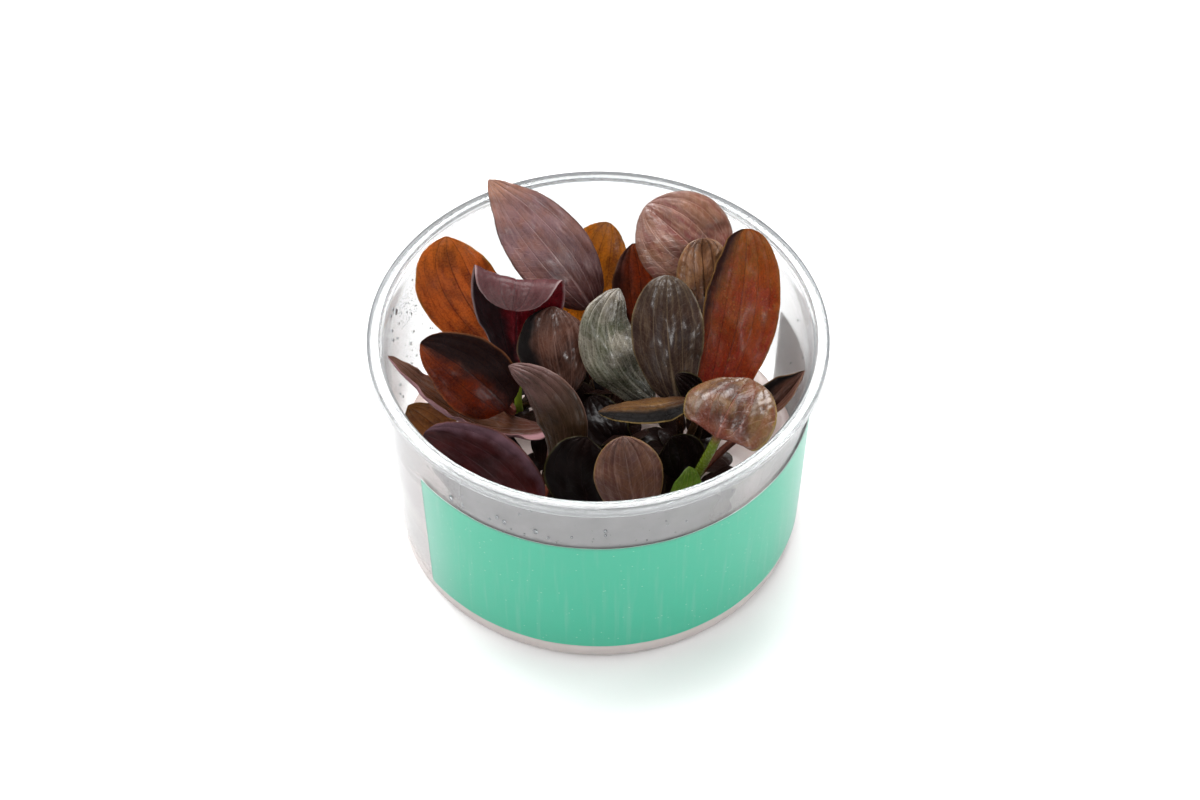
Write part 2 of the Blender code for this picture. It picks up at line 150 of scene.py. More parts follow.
class Graph:
    """The node tree of one material, filled by expressions on its sockets."""

    def __init__(self, name: str) -> None:
        """Start an empty material."""
        self.material = bpy.data.materials.new(name)
        self.material.use_nodes = True
        self.tree = self.material.node_tree
        self.tree.nodes.clear()
        self.output = self.node("ShaderNodeOutputMaterial")

    @classmethod
    def of_world(cls, world: bpy.types.World) -> "Graph":
        """Return the emptied node tree of the surroundings."""
        graph = cls.__new__(cls)
        graph.material = world
        graph.tree = world.node_tree
        graph.tree.nodes.clear()
        graph.output = graph.node("ShaderNodeOutputWorld")
        return graph

    def node(self, kind: str, settings: Optional[dict] = None,
             values: Optional[dict] = None) -> bpy.types.Node:
        """Make any node.

        Args:
            kind: The node's type.
            settings: Its settings by name, which are set first.
            values: Numbers, colours, fields or sockets by the name or index of the input.

        Returns:
            The node.
        """
        made = self.tree.nodes.new(kind)
        for key, setting in (settings or {}).items():
            setattr(made, key, setting)
        for key, value in (values or {}).items():
            socket = made.inputs[key]
            if isinstance(value, Field):
                self.tree.links.new(value.socket, socket)
            elif isinstance(value, bpy.types.NodeSocket):
                self.tree.links.new(value, socket)
            elif socket.type == "RGBA" and len(value) == 3:
                socket.default_value = (*value, 1.0)
            else:
                socket.default_value = value
        return made

    def field(self, kind: str, settings: Optional[dict] = None, values: Optional[dict] = None,
              result: Union[str, int] = 0) -> Field:
        """Make any node and return one of its outputs as a field."""
        return Field(self, self.node(kind, settings, values).outputs[result])

    def triple(self, x: Value, y: Value, z: Value) -> Field:
        """Return a vector of three numbers or fields."""
        return self.field("ShaderNodeCombineXYZ", None, {0: x, 1: y, 2: z})

    def parts(self, vector: Field) -> list[Field]:
        """Return the three numbers of a vector."""
        made = self.node("ShaderNodeSeparateXYZ", None, {0: vector})
        return [Field(self, socket) for socket in made.outputs]

    def attribute(self, name: str) -> Field:
        """Return a vector that the mesh holds at each of its points."""
        return self.field("ShaderNodeAttribute", {"attribute_name": name}, None, "Vector")

    def place(self) -> Field:
        """Return the place on the piece, in millimetres."""
        where = self.field("ShaderNodeTexCoord", None, None, "Object")
        return self.field("ShaderNodeVectorMath", {"operation": "SCALE"},
                          {0: where, "Scale": 1.0 / MM})

    def stretch(self, vector: Field, scales: Point) -> Field:
        """Return a vector with each of its parts scaled."""
        return self.field("ShaderNodeVectorMath", {"operation": "MULTIPLY"},
                          {0: vector, 1: scales})

    def cloud(self, vector: Field, scale: float, detail: float = 3.0,
              roughness: float = 0.5) -> Field:
        """Return soft noise from 0 to 1."""
        return self.field("ShaderNodeTexNoise", None,
                          {"Vector": vector, "Scale": scale, "Detail": detail,
                           "Roughness": roughness}, "Fac")

    def cells(self, vector: Field, scale: float, feature: str = "F1") -> Field:
        """Return the distance to scattered points."""
        return self.field("ShaderNodeTexVoronoi", {"feature": feature},
                          {"Vector": vector, "Scale": scale}, "Distance")

    def blend(self, share: Value, first: Union[Field, Colour],
              second: Union[Field, Colour]) -> Field:
        """Return a colour that goes from first to second as share goes from 0 to 1."""
        made = self.node("ShaderNodeMix", {"data_type": "RGBA"}, {0: share, 6: first, 7: second})
        return Field(self, made.outputs[2])

    def bump(self, height: Field, strength: float, depth: float) -> Field:
        """Return a normal that follows a height.

        Args:
            height: The height, about 0 to 1.
            strength: How much of it shows.
            depth: What a height of 1 stands for, in millimetres.

        Returns:
            The normal.
        """
        values = {"Strength": strength, "Distance": depth * MM, "Height": height}
        return self.field("ShaderNodeBump", None, values, "Normal")

    def surface(self, values: dict) -> Field:
        """Return a Principled shader with these values."""
        return self.field("ShaderNodeBsdfPrincipled", None, values)

    def mixed(self, share: Value, first: Field, second: Field) -> Field:
        """Return a mix of two shaders."""
        return self.field("ShaderNodeMixShader", None, {0: share, 1: first, 2: second})

    def clear(self) -> Field:
        """Return a shader that light passes straight through."""
        return self.field("ShaderNodeBsdfTransparent", None, {"Color": (0.97, 0.98, 0.98)})

    def shadow_ray(self) -> Field:
        """Return 1 where the light looks for shadow, and 0 elsewhere."""
        return self.field("ShaderNodeLightPath", None, None, "Is Shadow Ray")

    def turned_away(self) -> Field:
        """Return how far the skin is turned away, from 0 to 1."""
        return self.field("ShaderNodeLayerWeight", None, {"Blend": 0.5}, "Facing")

    def finish(self, shader: Field) -> bpy.types.Material:
        """Join the shader to the output and return the material."""
        self.tree.links.new(shader.socket, self.output.inputs["Surface"])
        return self.material


# Finishes


@dataclass(frozen=True)
class Shadow:
    """A soft-edged part of a blade, past a line across it, painted in a colour of its own: mostly
    painted shade, dark where the blade lies in shade; two finishes use it for a paler mauve margin
    that is partly painted light.

    Attributes:
        colour: Colour of the painted part.
        across: How fast the line's measure grows from the left margin to the right one.
        along: How fast it grows from the heel to the tip.
        start: Measure where the dark part begins.
        end: Measure where it is full.
    """

    colour: Colour
    across: float
    along: float
    start: float
    end: float


@dataclass(frozen=True)
class LeafFinish:
    """Colours and gloss of one leaf.

    Attributes:
        slot: The record's material slot; it is not used.
        body: Main colour of the upper face.
        patch: Second colour, in soft clouds.
        heel: Colour at the heel; it is also the painted shade in the relief's hollows.
        tip: Colour at the tip.
        margin: Colour of the thin margin.
        vein: Colour of the midrib and veins.
        under: Colour of the lower face.
        stalk: Colour of the petiole.
        glow: Colour of light that comes through.
        patches: How much of the second colour shows.
        heels: Share of the blade that the heel's colour takes.
        tips: Share of the blade that the tip's colour takes.
        veins: How much the veins show.
        streaks: How much fine streaks along the veins show.
        speckles: How much small speckles show, in the tip's colour and raised in the relief; on the
            orange leaf they are partly painted glints of its wet skin.
        glows: Share of light that comes through.
        roughness: Roughness of the skin.
        coat: Share of the wet coat.
        gloss: Strength of the skin's reflection.
        bump: Strength of the relief.
        blisters: How far the skin stands out in blisters between the veins.
        shadow: A painted part, mostly painted shade, or None.
        shadow_below: Whether the painted part is on the lower face alone.
    """

    slot: str
    body: Colour
    patch: Colour
    heel: Colour
    tip: Colour
    margin: Colour
    vein: Colour
    under: Colour
    stalk: Colour
    glow: Colour
    patches: float = 0.5
    heels: float = 0.35
    tips: float = 0.3
    veins: float = 0.5
    streaks: float = 0.3
    speckles: float = 0.0
    glows: float = 0.3
    roughness: float = 0.38
    coat: float = 0.3
    gloss: float = 0.3
    bump: float = 0.8
    blisters: float = 0.3
    shadow: Optional[Shadow] = None
    shadow_below: bool = False

    def material(self, name: str, seed: float) -> bpy.types.Material:
        """Make the material of one leaf.

        Args:
            name: The material's name.
            seed: A number that moves the clouds, so that no two leaves are alike.

        Returns:
            The material.
        """
        graph = Graph(name)
        share, along, side = graph.parts(graph.attribute("blade"))
        x, y, half = graph.parts(graph.attribute("flat"))
        reach = abs(share)
        flat = graph.triple(x, y, seed)
        warp = graph.cloud(flat, 0.33, 2.0) - 0.5
        cloud = graph.cloud(flat, 0.17, 4.0, 0.6).rise(0.40, 0.62)
        fine = graph.cloud(graph.triple(share * 15.0 + warp * 2.0, y * 0.16, seed), 1.0, 4.0, 0.6)
        grain = graph.cloud(flat, 1.9, 3.0, 0.6)
        swell = graph.cloud(graph.triple(x * 0.40, y * 0.13, seed), 1.0, 2.0)
        dome = graph.cells(graph.triple(x, y * 0.7, seed), 0.62)
        speck = graph.cells(flat, 0.95).rise(0.34, 0.14)
        wet = graph.cloud(graph.triple(x * 0.30, y * 0.11, seed + 5.0), 1.0, 3.0).rise(0.42, 0.60)

        midrib = (abs(x) / (1.12 - along)).rise(0.42, 0.12)
        lateral = abs(abs(x) - half * 0.38).rise(0.20, 0.05)
        outer = abs(abs(x) - half * 0.72).rise(0.15, 0.04)
        ladder = (y * 0.52 - abs(x) * 0.50 + warp * 1.3).swing(0.5).rise(0.42, 0.495)
        lines = midrib.most(lateral * 0.7).most(outer * 0.5).most(ladder * 0.35)

        colour = graph.blend(cloud * self.patches, self.body, self.patch)
        colour = graph.blend(along.rise(self.heels, -0.05), colour, self.heel)
        colour = graph.blend(along.rise(1.0 - self.tips, 1.02), colour, self.tip)
        colour = graph.blend(side.rise(0.1, -0.1), colour, self.under)
        # Painted shade: where the swell of the relief is low, its hollows are darkened towards the
        # heel's colour.
        colour = graph.blend(swell.rise(0.52, 0.34) * 0.45, colour, self.heel)
        colour = graph.blend(fine.rise(0.45, 0.75) * self.streaks, colour, self.vein)
        colour = graph.blend(fine.rise(0.50, 0.25) * (self.streaks * 0.8), colour, self.heel)
        colour = graph.blend(lines * self.veins, colour, self.vein)
        # Speckles in the tip's colour; on the orange leaf they are partly painted glints.
        colour = graph.blend(speck * self.speckles, colour, self.tip)
        colour = graph.blend(grain.rise(0.45, 0.30) * 0.4, colour, self.heel)
        # Painted shade past a line across the blade, where it lies in shade, with a rougher, less
        # glossy and less translucent skin there; on two finishes the same part is a paler mauve
        # margin, partly painted light.
        shade = share * 0.0
        if self.shadow:
            measure = share * self.shadow.across + along * self.shadow.along + warp * 0.35
            shade = measure.rise(self.shadow.start, self.shadow.end)
            if self.shadow_below:
                shade = shade * side.rise(0.0, -0.5)
            colour = graph.blend(shade, colour, self.shadow.colour)
        colour = graph.blend(reach.rise(0.93, 0.99) * 0.85, colour, self.margin)
        colour = graph.blend(along.rise(0.03, -0.12), colour, self.stalk)

        height = (grain * 0.25 - lines * 0.45 + fine * 0.10 + speck * (0.6 * self.speckles)
                  + swell * 1.3 - dome * (0.8 * self.blisters))
        normal = graph.bump(height, self.bump, 0.30)
        skin = graph.surface({"Base Color": colour,
                              "Roughness": grain * 0.16 + (self.roughness - 0.08) + shade * 0.25,
                              "Specular IOR Level": self.gloss,
                              "Coat Weight": wet * (1.0 - shade) * self.coat,
                              "Coat Roughness": 0.22, "Normal": normal})
        through = graph.field("ShaderNodeBsdfTranslucent", None, {"Color": self.glow})
        tone = swell.rise(0.34, 0.58) * 0.5 + grain.rise(0.35, 0.65) * 0.4 + 0.30
        tone = tone * (1.0 - lines * 0.6) * (1.0 - fine.rise(0.52, 0.30) * self.streaks)
        passes = (tone * self.glows).least(1.0) * along.rise(-0.1, 0.05)
        if self.shadow:
            passes = passes * (1.0 - shade * 0.85)
        return graph.finish(graph.mixed(passes, skin, through))


@dataclass(frozen=True)
class ClearPlasticFinish:
    """Thin clear moulded plastic, misted by water on the inside.

    Attributes:
        tint: Colour of the plastic.
        mist: Colour of the mist; where it is heavy, on the front band, its grey is also painted
            shade for the dim inside seen through the wall.
        edge: Colour of painted dark lines where the plastic is seen edge-on and at the rim's edges
            and step, which stand for its refraction and reflection.
        milk: Pale colour painted low on the wall, painted light that shows the gel at the foot as
            lit.
        roughness: Roughness of the skin.
        density: Refractive index.
        thin: Share of light that passes as if the wall were a film.
        ripple: Depth of the moulding's ripple.
    """

    tint: Colour = ink(246, 249, 250)
    mist: Colour = ink(150, 149, 150)
    edge: Colour = ink(92, 94, 98)
    milk: Colour = ink(232, 221, 218)
    roughness: float = 0.03
    density: float = 1.46
    thin: float = 0.30
    ripple: float = 0.02

    def material(self, name: str) -> bpy.types.Material:
        """Make the material."""
        graph = Graph(name)
        place = graph.place()
        x, y, height = graph.parts(place)
        marks = graph.cloud(graph.stretch(place, (0.05, 0.05, 0.5)), 1.0, 2.0)
        haze = graph.cloud(place, 0.12, 3.0)
        glass = graph.surface({"Base Color": self.tint, "Transmission Weight": 1.0,
                               "IOR": self.density,
                               "Roughness": haze.rise(0.52, 0.75) * 0.05 + self.roughness,
                               "Normal": graph.bump(marks, 0.25, self.ripple)})
        wall = graph.mixed(graph.shadow_ray().most(self.thin), glass, graph.clear())
        # Grey mist of condensation, heavier on the front band; there its grey is also painted
        # shade, for the dim inside seen through the wall.
        film = graph.surface({"Base Color": self.mist, "Roughness": 0.45})
        front = (y + x * 0.18).rise(-26.0, -45.0) * x.rise(-36.0, -26.0)
        inside = height.rise(20.0, 30.0) * height.rise(57.4, 56.0)
        misted = (front * 0.50 + 0.17) * inside * (haze * 0.5 + 0.75)
        # Painted reflection: grey lines at the rim's outer edge and step, stronger towards the
        # back, and grey where the wall is seen edge-on above the foot, for the dark lines that
        # refraction and reflection draw in the plastic.
        reach = graph.field("ShaderNodeVectorMath", {"operation": "LENGTH"},
                            {0: graph.triple(x, y, 0.0)}, "Value")
        rings = reach.rise(51.8, 51.9).most(abs(reach - 49.8).rise(0.16, 0.06) * 0.55)
        rings = rings.most(abs(reach - 49.0).rise(0.14, 0.04) * 0.4)
        rings = rings * height.rise(55.5, 56.5) * (y.rise(-38.0, 0.0) * 0.8 + 0.1)
        painted_dark_edge = graph.surface({"Base Color": self.edge, "Roughness": 0.2})
        edges = graph.turned_away().rise(0.55, 0.95) * height.rise(3.0, 9.0) * 0.6
        edged = graph.mixed(edges.most(rings * 0.75), wall, painted_dark_edge)
        # Painted light: a pale film low on the wall shows the gel at the foot as lit, where little
        # light reaches it.
        milk = graph.surface({"Base Color": self.milk, "Roughness": 0.35})
        edged = graph.mixed(height.rise(7.0, 3.5) * reach.rise(40.0, 43.0) * 0.5, edged, milk)
        return graph.finish(graph.mixed(misted, edged, film))


@dataclass(frozen=True)
class LabelFinish:
    """Printed film: its print on the outside, bare film on the inside.

    Attributes:
        print_colour: Colour of the printed face.
        pale: The print where it is worn paler, near its ends.
        back: Colour of the bare inner face, a grey that is its white darkened as painted shade, for
            the shade inside the cup.
    """

    print_colour: Colour = ink(58, 164, 134)
    pale: Colour = ink(142, 176, 168)
    back: Colour = ink(188, 190, 190)

    def material(self, name: str) -> bpy.types.Material:
        """Make the material."""
        graph = Graph(name)
        turn, rise, outside = graph.parts(graph.attribute("wrap"))
        place = graph.triple(turn * 60.0, rise * 37.0, 0.0)
        ends = (turn - 0.5).rise(0.12, 0.36).most((0.5 - turn).rise(0.40, 0.52) * 0.5)
        streak = graph.cloud(graph.triple(turn * 90.0, rise * 1.3, 4.0), 1.0, 3.0)
        speck = graph.cells(place, 0.85).rise(0.10, 0.03)
        colour = graph.blend(ends * 0.85 + streak.rise(0.5, 0.8) * 0.16, self.print_colour,
                             self.pale)
        colour = graph.blend(speck * 0.35, colour, ink(226, 240, 234))
        edge = rise.rise(0.975, 0.998).most(abs(turn - 0.5).rise(0.4955, 0.4995))
        colour = graph.blend(edge * 0.55, colour, ink(62, 128, 108))
        # The inner face is the back's grey, painted shade on white film.
        colour = graph.blend(outside, self.back, colour)
        grain = graph.cloud(place, 2.2, 3.0)
        film = graph.surface({"Base Color": colour, "Roughness": grain * 0.12 + 0.30,
                              "Specular IOR Level": 0.35,
                              "Normal": graph.bump(grain + streak * 0.6, 0.25, 0.05)})
        return graph.finish(film)


@dataclass(frozen=True)
class GelFinish:
    """Pale culture gel with a wet skin.

    Attributes:
        clear: Main colour.
        rosy: Colour of its warmer clouds.
    """

    clear: Colour = ink(214, 202, 198)
    rosy: Colour = ink(206, 176, 168)

    def material(self, name: str) -> bpy.types.Material:
        """Make the material."""
        graph = Graph(name)
        place = graph.place()
        _, _, height = graph.parts(place)
        cloud = graph.cloud(place, 0.06, 3.0).rise(0.35, 0.70)
        colour = graph.blend(cloud * 0.7, self.clear, self.rosy)
        colour = graph.blend(height.rise(14.0, 9.0), colour, ink(250, 238, 235))
        dimple = graph.cloud(place, 0.35, 3.0)
        skin = graph.surface({"Base Color": colour, "Roughness": dimple * 0.1 + 0.12,
                              "Coat Weight": 0.3, "Coat Roughness": 0.05,
                              "Normal": graph.bump(dimple, 0.35, 0.6)})
        through = graph.field("ShaderNodeBsdfTranslucent", None, {"Color": (0.93, 0.86, 0.83)})
        return graph.finish(graph.mixed(0.45, skin, through))


@dataclass(frozen=True)
class CrownFinish:
    """Stem base with old sheaths: pale at the gel, green and red above.

    Attributes:
        low: Colour near the gel.
        high: Colour at the top.
        stain: Colour of brown stains.
    """

    low: Colour = ink(214, 190, 170)
    high: Colour = ink(118, 132, 44)
    stain: Colour = ink(92, 52, 34)

    def material(self, name: str) -> bpy.types.Material:
        """Make the material."""
        graph = Graph(name)
        place = graph.place()
        _, _, height = graph.parts(place)
        fibre = graph.cloud(graph.stretch(place, (2.2, 2.2, 0.35)), 1.0, 4.0)
        cloud = graph.cloud(place, 0.45, 3.0).rise(0.45, 0.65)
        colour = graph.blend(height.rise(16.0, 21.0), self.low, self.high)
        colour = graph.blend(cloud * 0.6, colour, self.stain)
        skin = graph.surface({"Base Color": colour, "Roughness": fibre * 0.2 + 0.35,
                              "Coat Weight": 0.2, "Coat Roughness": 0.15,
                              "Normal": graph.bump(fibre, 0.5, 0.3)})
        return graph.finish(skin)


@dataclass(frozen=True)
class WaterFinish:
    """Clear water in drops.

    Attributes:
        density: Refractive index.
    """

    density: float = 1.33

    def material(self, name: str) -> bpy.types.Material:
        """Make the material."""
        graph = Graph(name)
        ripple = graph.cloud(graph.place(), 1.5, 1.0)
        water = graph.surface({"Base Color": ink(246, 249, 250), "Transmission Weight": 1.0,
                               "IOR": self.density, "Roughness": 0.02,
                               "Normal": graph.bump(ripple, 0.2, 0.05)})
        # Painted reflection: the drops turn grey at their edges, for the dark rims that refraction
        # gives them.
        painted_dark_edge = graph.surface({"Base Color": ink(96, 98, 102), "Roughness": 0.2})
        edged = graph.mixed(graph.turned_away().rise(0.15, 0.60) * 0.8, water, painted_dark_edge)
        return graph.finish(graph.mixed(graph.shadow_ray(), edged, graph.clear()))


def toned(slot: str, glow: Colour, *tones: tuple[int, int, int],
          **shares: Union[float, bool, Shadow]) -> LeafFinish:
    """Make a leaf's finish from display colours.

    Args:
        slot: The record's material slot.
        glow: Colour of light that comes through.
        *tones: Body, patch, heel, tip, margin, vein, under and stalk, 0 to 255 a channel.
        **shares: The finish's other fields.

    Returns:
        The finish.
    """
    return LeafFinish(slot, *(ink(*tone) for tone in tones), glow, **shares)


class Finish(Enum):
    """Finishes that leaves share."""

    SATIN_MAUVE = toned(
        "leaf_mauve", (0.35, 0.16, 0.09), (120, 90, 92), (140, 88, 58), (58, 16, 13),
        (140, 96, 72), (76, 48, 44), (158, 128, 124), (104, 56, 44), (82, 40, 26), patches=0.35,
        heels=0.6, veins=0.4, streaks=0.45, glows=0.26, roughness=0.40, coat=0.5, blisters=0.1,
        tips=0.25)
    # Its pinkish clouds and tip-coloured speckles are partly painted sheen and glints of the wet
    # skin.
    ORANGE = toned(
        "leaf_rust", (0.86, 0.38, 0.15), (140, 58, 26), (176, 102, 66), (92, 30, 16),
        (146, 92, 30), (132, 112, 46), (58, 20, 10), (116, 54, 26), (86, 38, 22), patches=0.6,
        heels=0.5, veins=0.7, streaks=0.45, speckles=0.6, glows=0.62, roughness=0.3, coat=0.8,
        bump=1.0, blisters=1.0, tips=0.5)
    # Painted shade: the near-black part of its lower face, past a line, stands for the shade on
    # that side.
    WINE = toned(
        "leaf_wine", (0.60, 0.09, 0.12), (94, 64, 66), (72, 44, 48), (60, 16, 20), (106, 78, 78),
        (150, 130, 130), (50, 30, 34), (92, 14, 24), (132, 150, 46), streaks=0.4, glows=0.42,
        roughness=0.36,
        shadow=Shadow(ink(20, 4, 7), across=1.0, along=-0.55, start=-0.25, end=0.2),
        shadow_below=True, gloss=0.12)
    GOLD = toned(
        "leaf_gold", (0.80, 0.42, 0.10), (136, 78, 26), (158, 98, 34), (88, 34, 14), (136, 84, 26),
        (112, 92, 36), (80, 36, 14), (120, 66, 24), (100, 52, 20), patches=0.6, heels=0.5,
        streaks=0.45, speckles=0.5, glows=0.62, roughness=0.34, coat=0.5, blisters=0.6)
    DULL_GOLD = toned(
        "leaf_gold", (0.6, 0.34, 0.14), (140, 88, 48), (150, 98, 56), (70, 34, 18), (110, 76, 40),
        (104, 84, 44), (78, 42, 22), (104, 62, 34), (90, 50, 24), patches=0.6, veins=0.4,
        glows=0.4, roughness=0.36, gloss=0.2)
    # Painted shadow: its lower, front half is near-black, for the shade under the strip.
    STRIP = toned(
        "leaf_gold", (0.3, 0.18, 0.08), (78, 52, 28), (98, 70, 38), (40, 22, 14), (66, 44, 22),
        (112, 92, 54), (44, 26, 16), (22, 13, 9), (60, 40, 22), patches=0.8, veins=0.3,
        streaks=0.4, speckles=0.6, glows=0.06, roughness=0.34, coat=0.2, bump=1.0, gloss=0.08,
        shadow=Shadow(ink(10, 7, 6), across=-1.0, along=0.0, start=0.0, end=0.5))
    # Painted shade: near-black towards the tip on its left side, where the curled margin shades the
    # blade.
    RUST = toned(
        "leaf_rust", (0.76, 0.25, 0.09), (112, 48, 20), (124, 80, 34), (104, 22, 14),
        (110, 76, 30), (104, 74, 34), (58, 22, 12), (98, 44, 24), (84, 32, 22), patches=0.7,
        heels=0.75, tips=0.45, veins=0.45, streaks=0.45, speckles=0.45, glows=0.52, roughness=0.34,
        shadow=Shadow(ink(38, 16, 14), across=-1.0, along=0.55, start=0.75, end=1.25), gloss=0.15,
        blisters=0.8)
    # Painted shade: its left half is darkened, for the shade on that side.
    DEEP_RUST = toned(
        "leaf_rust", (0.66, 0.22, 0.08), (104, 40, 20), (116, 52, 26), (40, 12, 9), (92, 44, 20),
        (84, 52, 28), (40, 14, 9), (66, 26, 16), (60, 24, 16), patches=0.7, heels=0.6, veins=0.4,
        glows=0.42, roughness=0.36,
        shadow=Shadow(ink(44, 16, 10), across=-1.0, along=0.1, start=0.3, end=0.9), gloss=0.15)
    # Painted shadow: the upper right of the blade is near-black, for the shadow of a leaf above it.
    RED_BROWN = toned(
        "leaf_rust", (0.78, 0.26, 0.06), (72, 24, 10), (98, 44, 18), (44, 12, 9), (100, 48, 22),
        (92, 54, 30), (40, 16, 10), (78, 30, 18), (70, 28, 18), patches=0.6, heels=0.5, veins=0.4,
        streaks=0.35, glows=0.48, roughness=0.30, coat=0.25,
        shadow=Shadow(ink(22, 6, 5), across=1.0, along=0.35, start=-0.10, end=0.40), gloss=0.1)
    OLIVE = toned(
        "leaf_olive", (0.25, 0.16, 0.06), (44, 30, 25), (56, 41, 33), (28, 16, 14), (62, 50, 42),
        (88, 74, 50), (98, 82, 64), (56, 36, 28), (60, 38, 26), patches=0.6, streaks=0.4,
        glows=0.06, roughness=0.28, coat=0.7, gloss=0.08)
    # Painted sheen, in part: the grey body and pale streaks stand for the silvery shine of the wet,
    # curved skin.
    SILVER = toned(
        "leaf_silver", (0.3, 0.3, 0.1), (106, 100, 88), (56, 60, 38), (26, 22, 17), (88, 78, 68),
        (110, 100, 82), (158, 152, 138), (56, 46, 34), (64, 62, 30), patches=0.8, veins=0.35,
        streaks=0.5, glows=0.05, roughness=0.28, coat=1.0, bump=0.9, blisters=0.4, gloss=0.5)
    # Painted shade: the left side near the heel is near-black, for the shade on that side of the
    # fold.
    FOLDED_BROWN = toned(
        "leaf_brown", (0.35, 0.16, 0.08), (70, 42, 32), (92, 60, 48), (28, 14, 12), (96, 66, 56),
        (92, 68, 48), (124, 94, 84), (66, 36, 27), (66, 32, 22), patches=0.7, veins=0.45,
        streaks=0.6, glows=0.08, roughness=0.36, coat=0.8,
        shadow=Shadow(ink(14, 8, 8), across=-1.0, along=-0.3, start=0.15, end=0.50), blisters=0.4,
        gloss=0.1)
    CRINKLED = toned(
        "leaf_brown", (0.4, 0.22, 0.1), (150, 104, 72), (172, 126, 84), (58, 28, 18),
        (124, 86, 62), (116, 88, 56), (60, 32, 22), (96, 58, 40), (76, 38, 26), patches=0.8,
        veins=0.6, streaks=0.5, glows=0.12, roughness=0.3, coat=0.6, bump=1.0, blisters=0.6)
    # Painted shade: near-black, darker than the leaves' own red-brown, for leaves that lie in shade
    # low in the clump; the short basal leaves use it too.
    NEAR_BLACK = toned(
        "leaf_dark", (0.1, 0.04, 0.02), (12, 6, 5), (20, 10, 9), (10, 6, 6), (28, 18, 16),
        (48, 44, 24), (28, 17, 15), (28, 16, 13), (38, 26, 14), veins=0.35, glows=0.03,
        roughness=0.32, gloss=0.04)
    # Its paler mauve far margin towards the tip is the underside's colour, made lighter as painted
    # light where the margin curls up to the light.
    MAROON = toned(
        "leaf_dark", (0.3, 0.06, 0.05), (36, 10, 11), (54, 18, 18), (62, 18, 16), (34, 15, 17),
        (76, 44, 38), (70, 42, 46), (52, 20, 19), (88, 44, 34), patches=0.6, heels=0.5, veins=0.3,
        streaks=0.4, glows=0.08, roughness=0.32, coat=0.35,
        shadow=Shadow(ink(92, 66, 74), across=0.9, along=0.35, start=0.62, end=1.0), gloss=0.08)
    VEINED_BROWN = toned(
        "leaf_brown", (0.35, 0.18, 0.08), (84, 52, 44), (104, 68, 46), (66, 32, 26), (96, 66, 56),
        (120, 92, 52), (136, 106, 94), (76, 42, 32), (92, 54, 34), patches=0.7, veins=0.55,
        streaks=0.5, glows=0.08, roughness=0.30, coat=0.6, bump=1.0, blisters=0.6, gloss=0.25)
    ROUND_MAUVE = toned(
        "leaf_mauve", (0.4, 0.2, 0.1), (98, 66, 56), (122, 82, 58), (100, 44, 44), (108, 76, 66),
        (104, 72, 58), (158, 120, 104), (104, 62, 48), (80, 44, 30), patches=0.7, streaks=0.6,
        glows=0.14, roughness=0.34, coat=0.7, bump=1.0, blisters=0.5)
    BLISTERED = toned(
        "leaf_brown", (0.4, 0.24, 0.1), (56, 34, 24), (112, 84, 52), (88, 40, 30), (96, 72, 50),
        (124, 102, 52), (112, 62, 48), (88, 52, 32), (84, 98, 26), patches=0.8, veins=0.6,
        streaks=0.35, glows=0.10, roughness=0.27, coat=0.8, bump=1.0, blisters=0.35)
    # Its pale mauve left margin is the underside's colour, lightened as painted sheen.
    CHANNEL = toned(
        "leaf_mauve", (0.35, 0.18, 0.08), (62, 34, 18), (78, 48, 28), (58, 28, 22), (96, 70, 60),
        (150, 112, 112), (98, 70, 60), (110, 78, 82), (84, 46, 34), patches=0.6, veins=0.35,
        streaks=0.45, glows=0.10, roughness=0.34,
        shadow=Shadow(ink(136, 100, 104), across=-1.0, along=-0.1, start=0.45, end=0.70),
        gloss=0.12)
    ARCHED = toned(
        "leaf_mauve", (0.25, 0.15, 0.05), (36, 22, 12), (52, 34, 18), (34, 24, 12), (98, 72, 70),
        (92, 68, 60), (74, 54, 44), (60, 38, 30), (72, 56, 26), patches=0.6, heels=0.3, tips=0.55,
        veins=0.35, streaks=0.5, glows=0.05, roughness=0.32, coat=0.35, gloss=0.1)
    YOUNG_GREEN = toned(
        "leaf_green", (0.35, 0.5, 0.08), (76, 108, 20), (104, 130, 32), (92, 122, 30),
        (50, 72, 16), (66, 84, 26), (140, 152, 58), (86, 114, 30), (136, 152, 54), patches=0.6,
        streaks=0.4, glows=0.25, roughness=0.3, coat=0.35)


# Mesh helpers


def placed(name: str, data: bpy.types.ID) -> bpy.types.Object:
    """Put an object of this data in the scene."""
    made = bpy.data.objects.new(name, data)
    bpy.context.scene.collection.objects.link(made)
    return made


def aim(thing: bpy.types.Object, place: Point, target: Point) -> None:
    """Move a lamp or camera to a place and face it to a target."""
    thing.location = place
    facing = Vector(target) - Vector(place)
    thing.rotation_euler = facing.to_track_quat("-Z", "Y").to_euler()


def add_to(together: bmesh.types.BMesh, part: bmesh.types.BMesh) -> None:
    """Move one mesh, which is used up, into another."""
    sheet = bpy.data.meshes.new("sheet")
    part.to_mesh(sheet)
    part.free()
    together.from_mesh(sheet)
    bpy.data.meshes.remove(sheet)


def shaped_grid(columns: int, rows: int,
                shape: Callable[[bpy.types.Mesh, np.ndarray], None]) -> bmesh.types.BMesh:
    """Make a flat grid over -1 to 1 and shape its points.

    Args:
        columns: Grid steps along X.
        rows: Grid steps along Y.
        shape: Takes the mesh and its flat points, and moves them.

    Returns:
        The shaped mesh.
    """
    maker = bmesh.new()
    bmesh.ops.create_grid(maker, x_segments=columns, y_segments=rows, size=1.0)
    sheet = bpy.data.meshes.new("sheet")
    maker.to_mesh(sheet)
    maker.free()
    grid = np.empty(len(sheet.vertices) * 3)
    sheet.vertices.foreach_get("co", grid)
    shape(sheet, grid.reshape(-1, 3))
    maker = bmesh.new()
    maker.from_mesh(sheet)
    bpy.data.meshes.remove(sheet)
    return maker


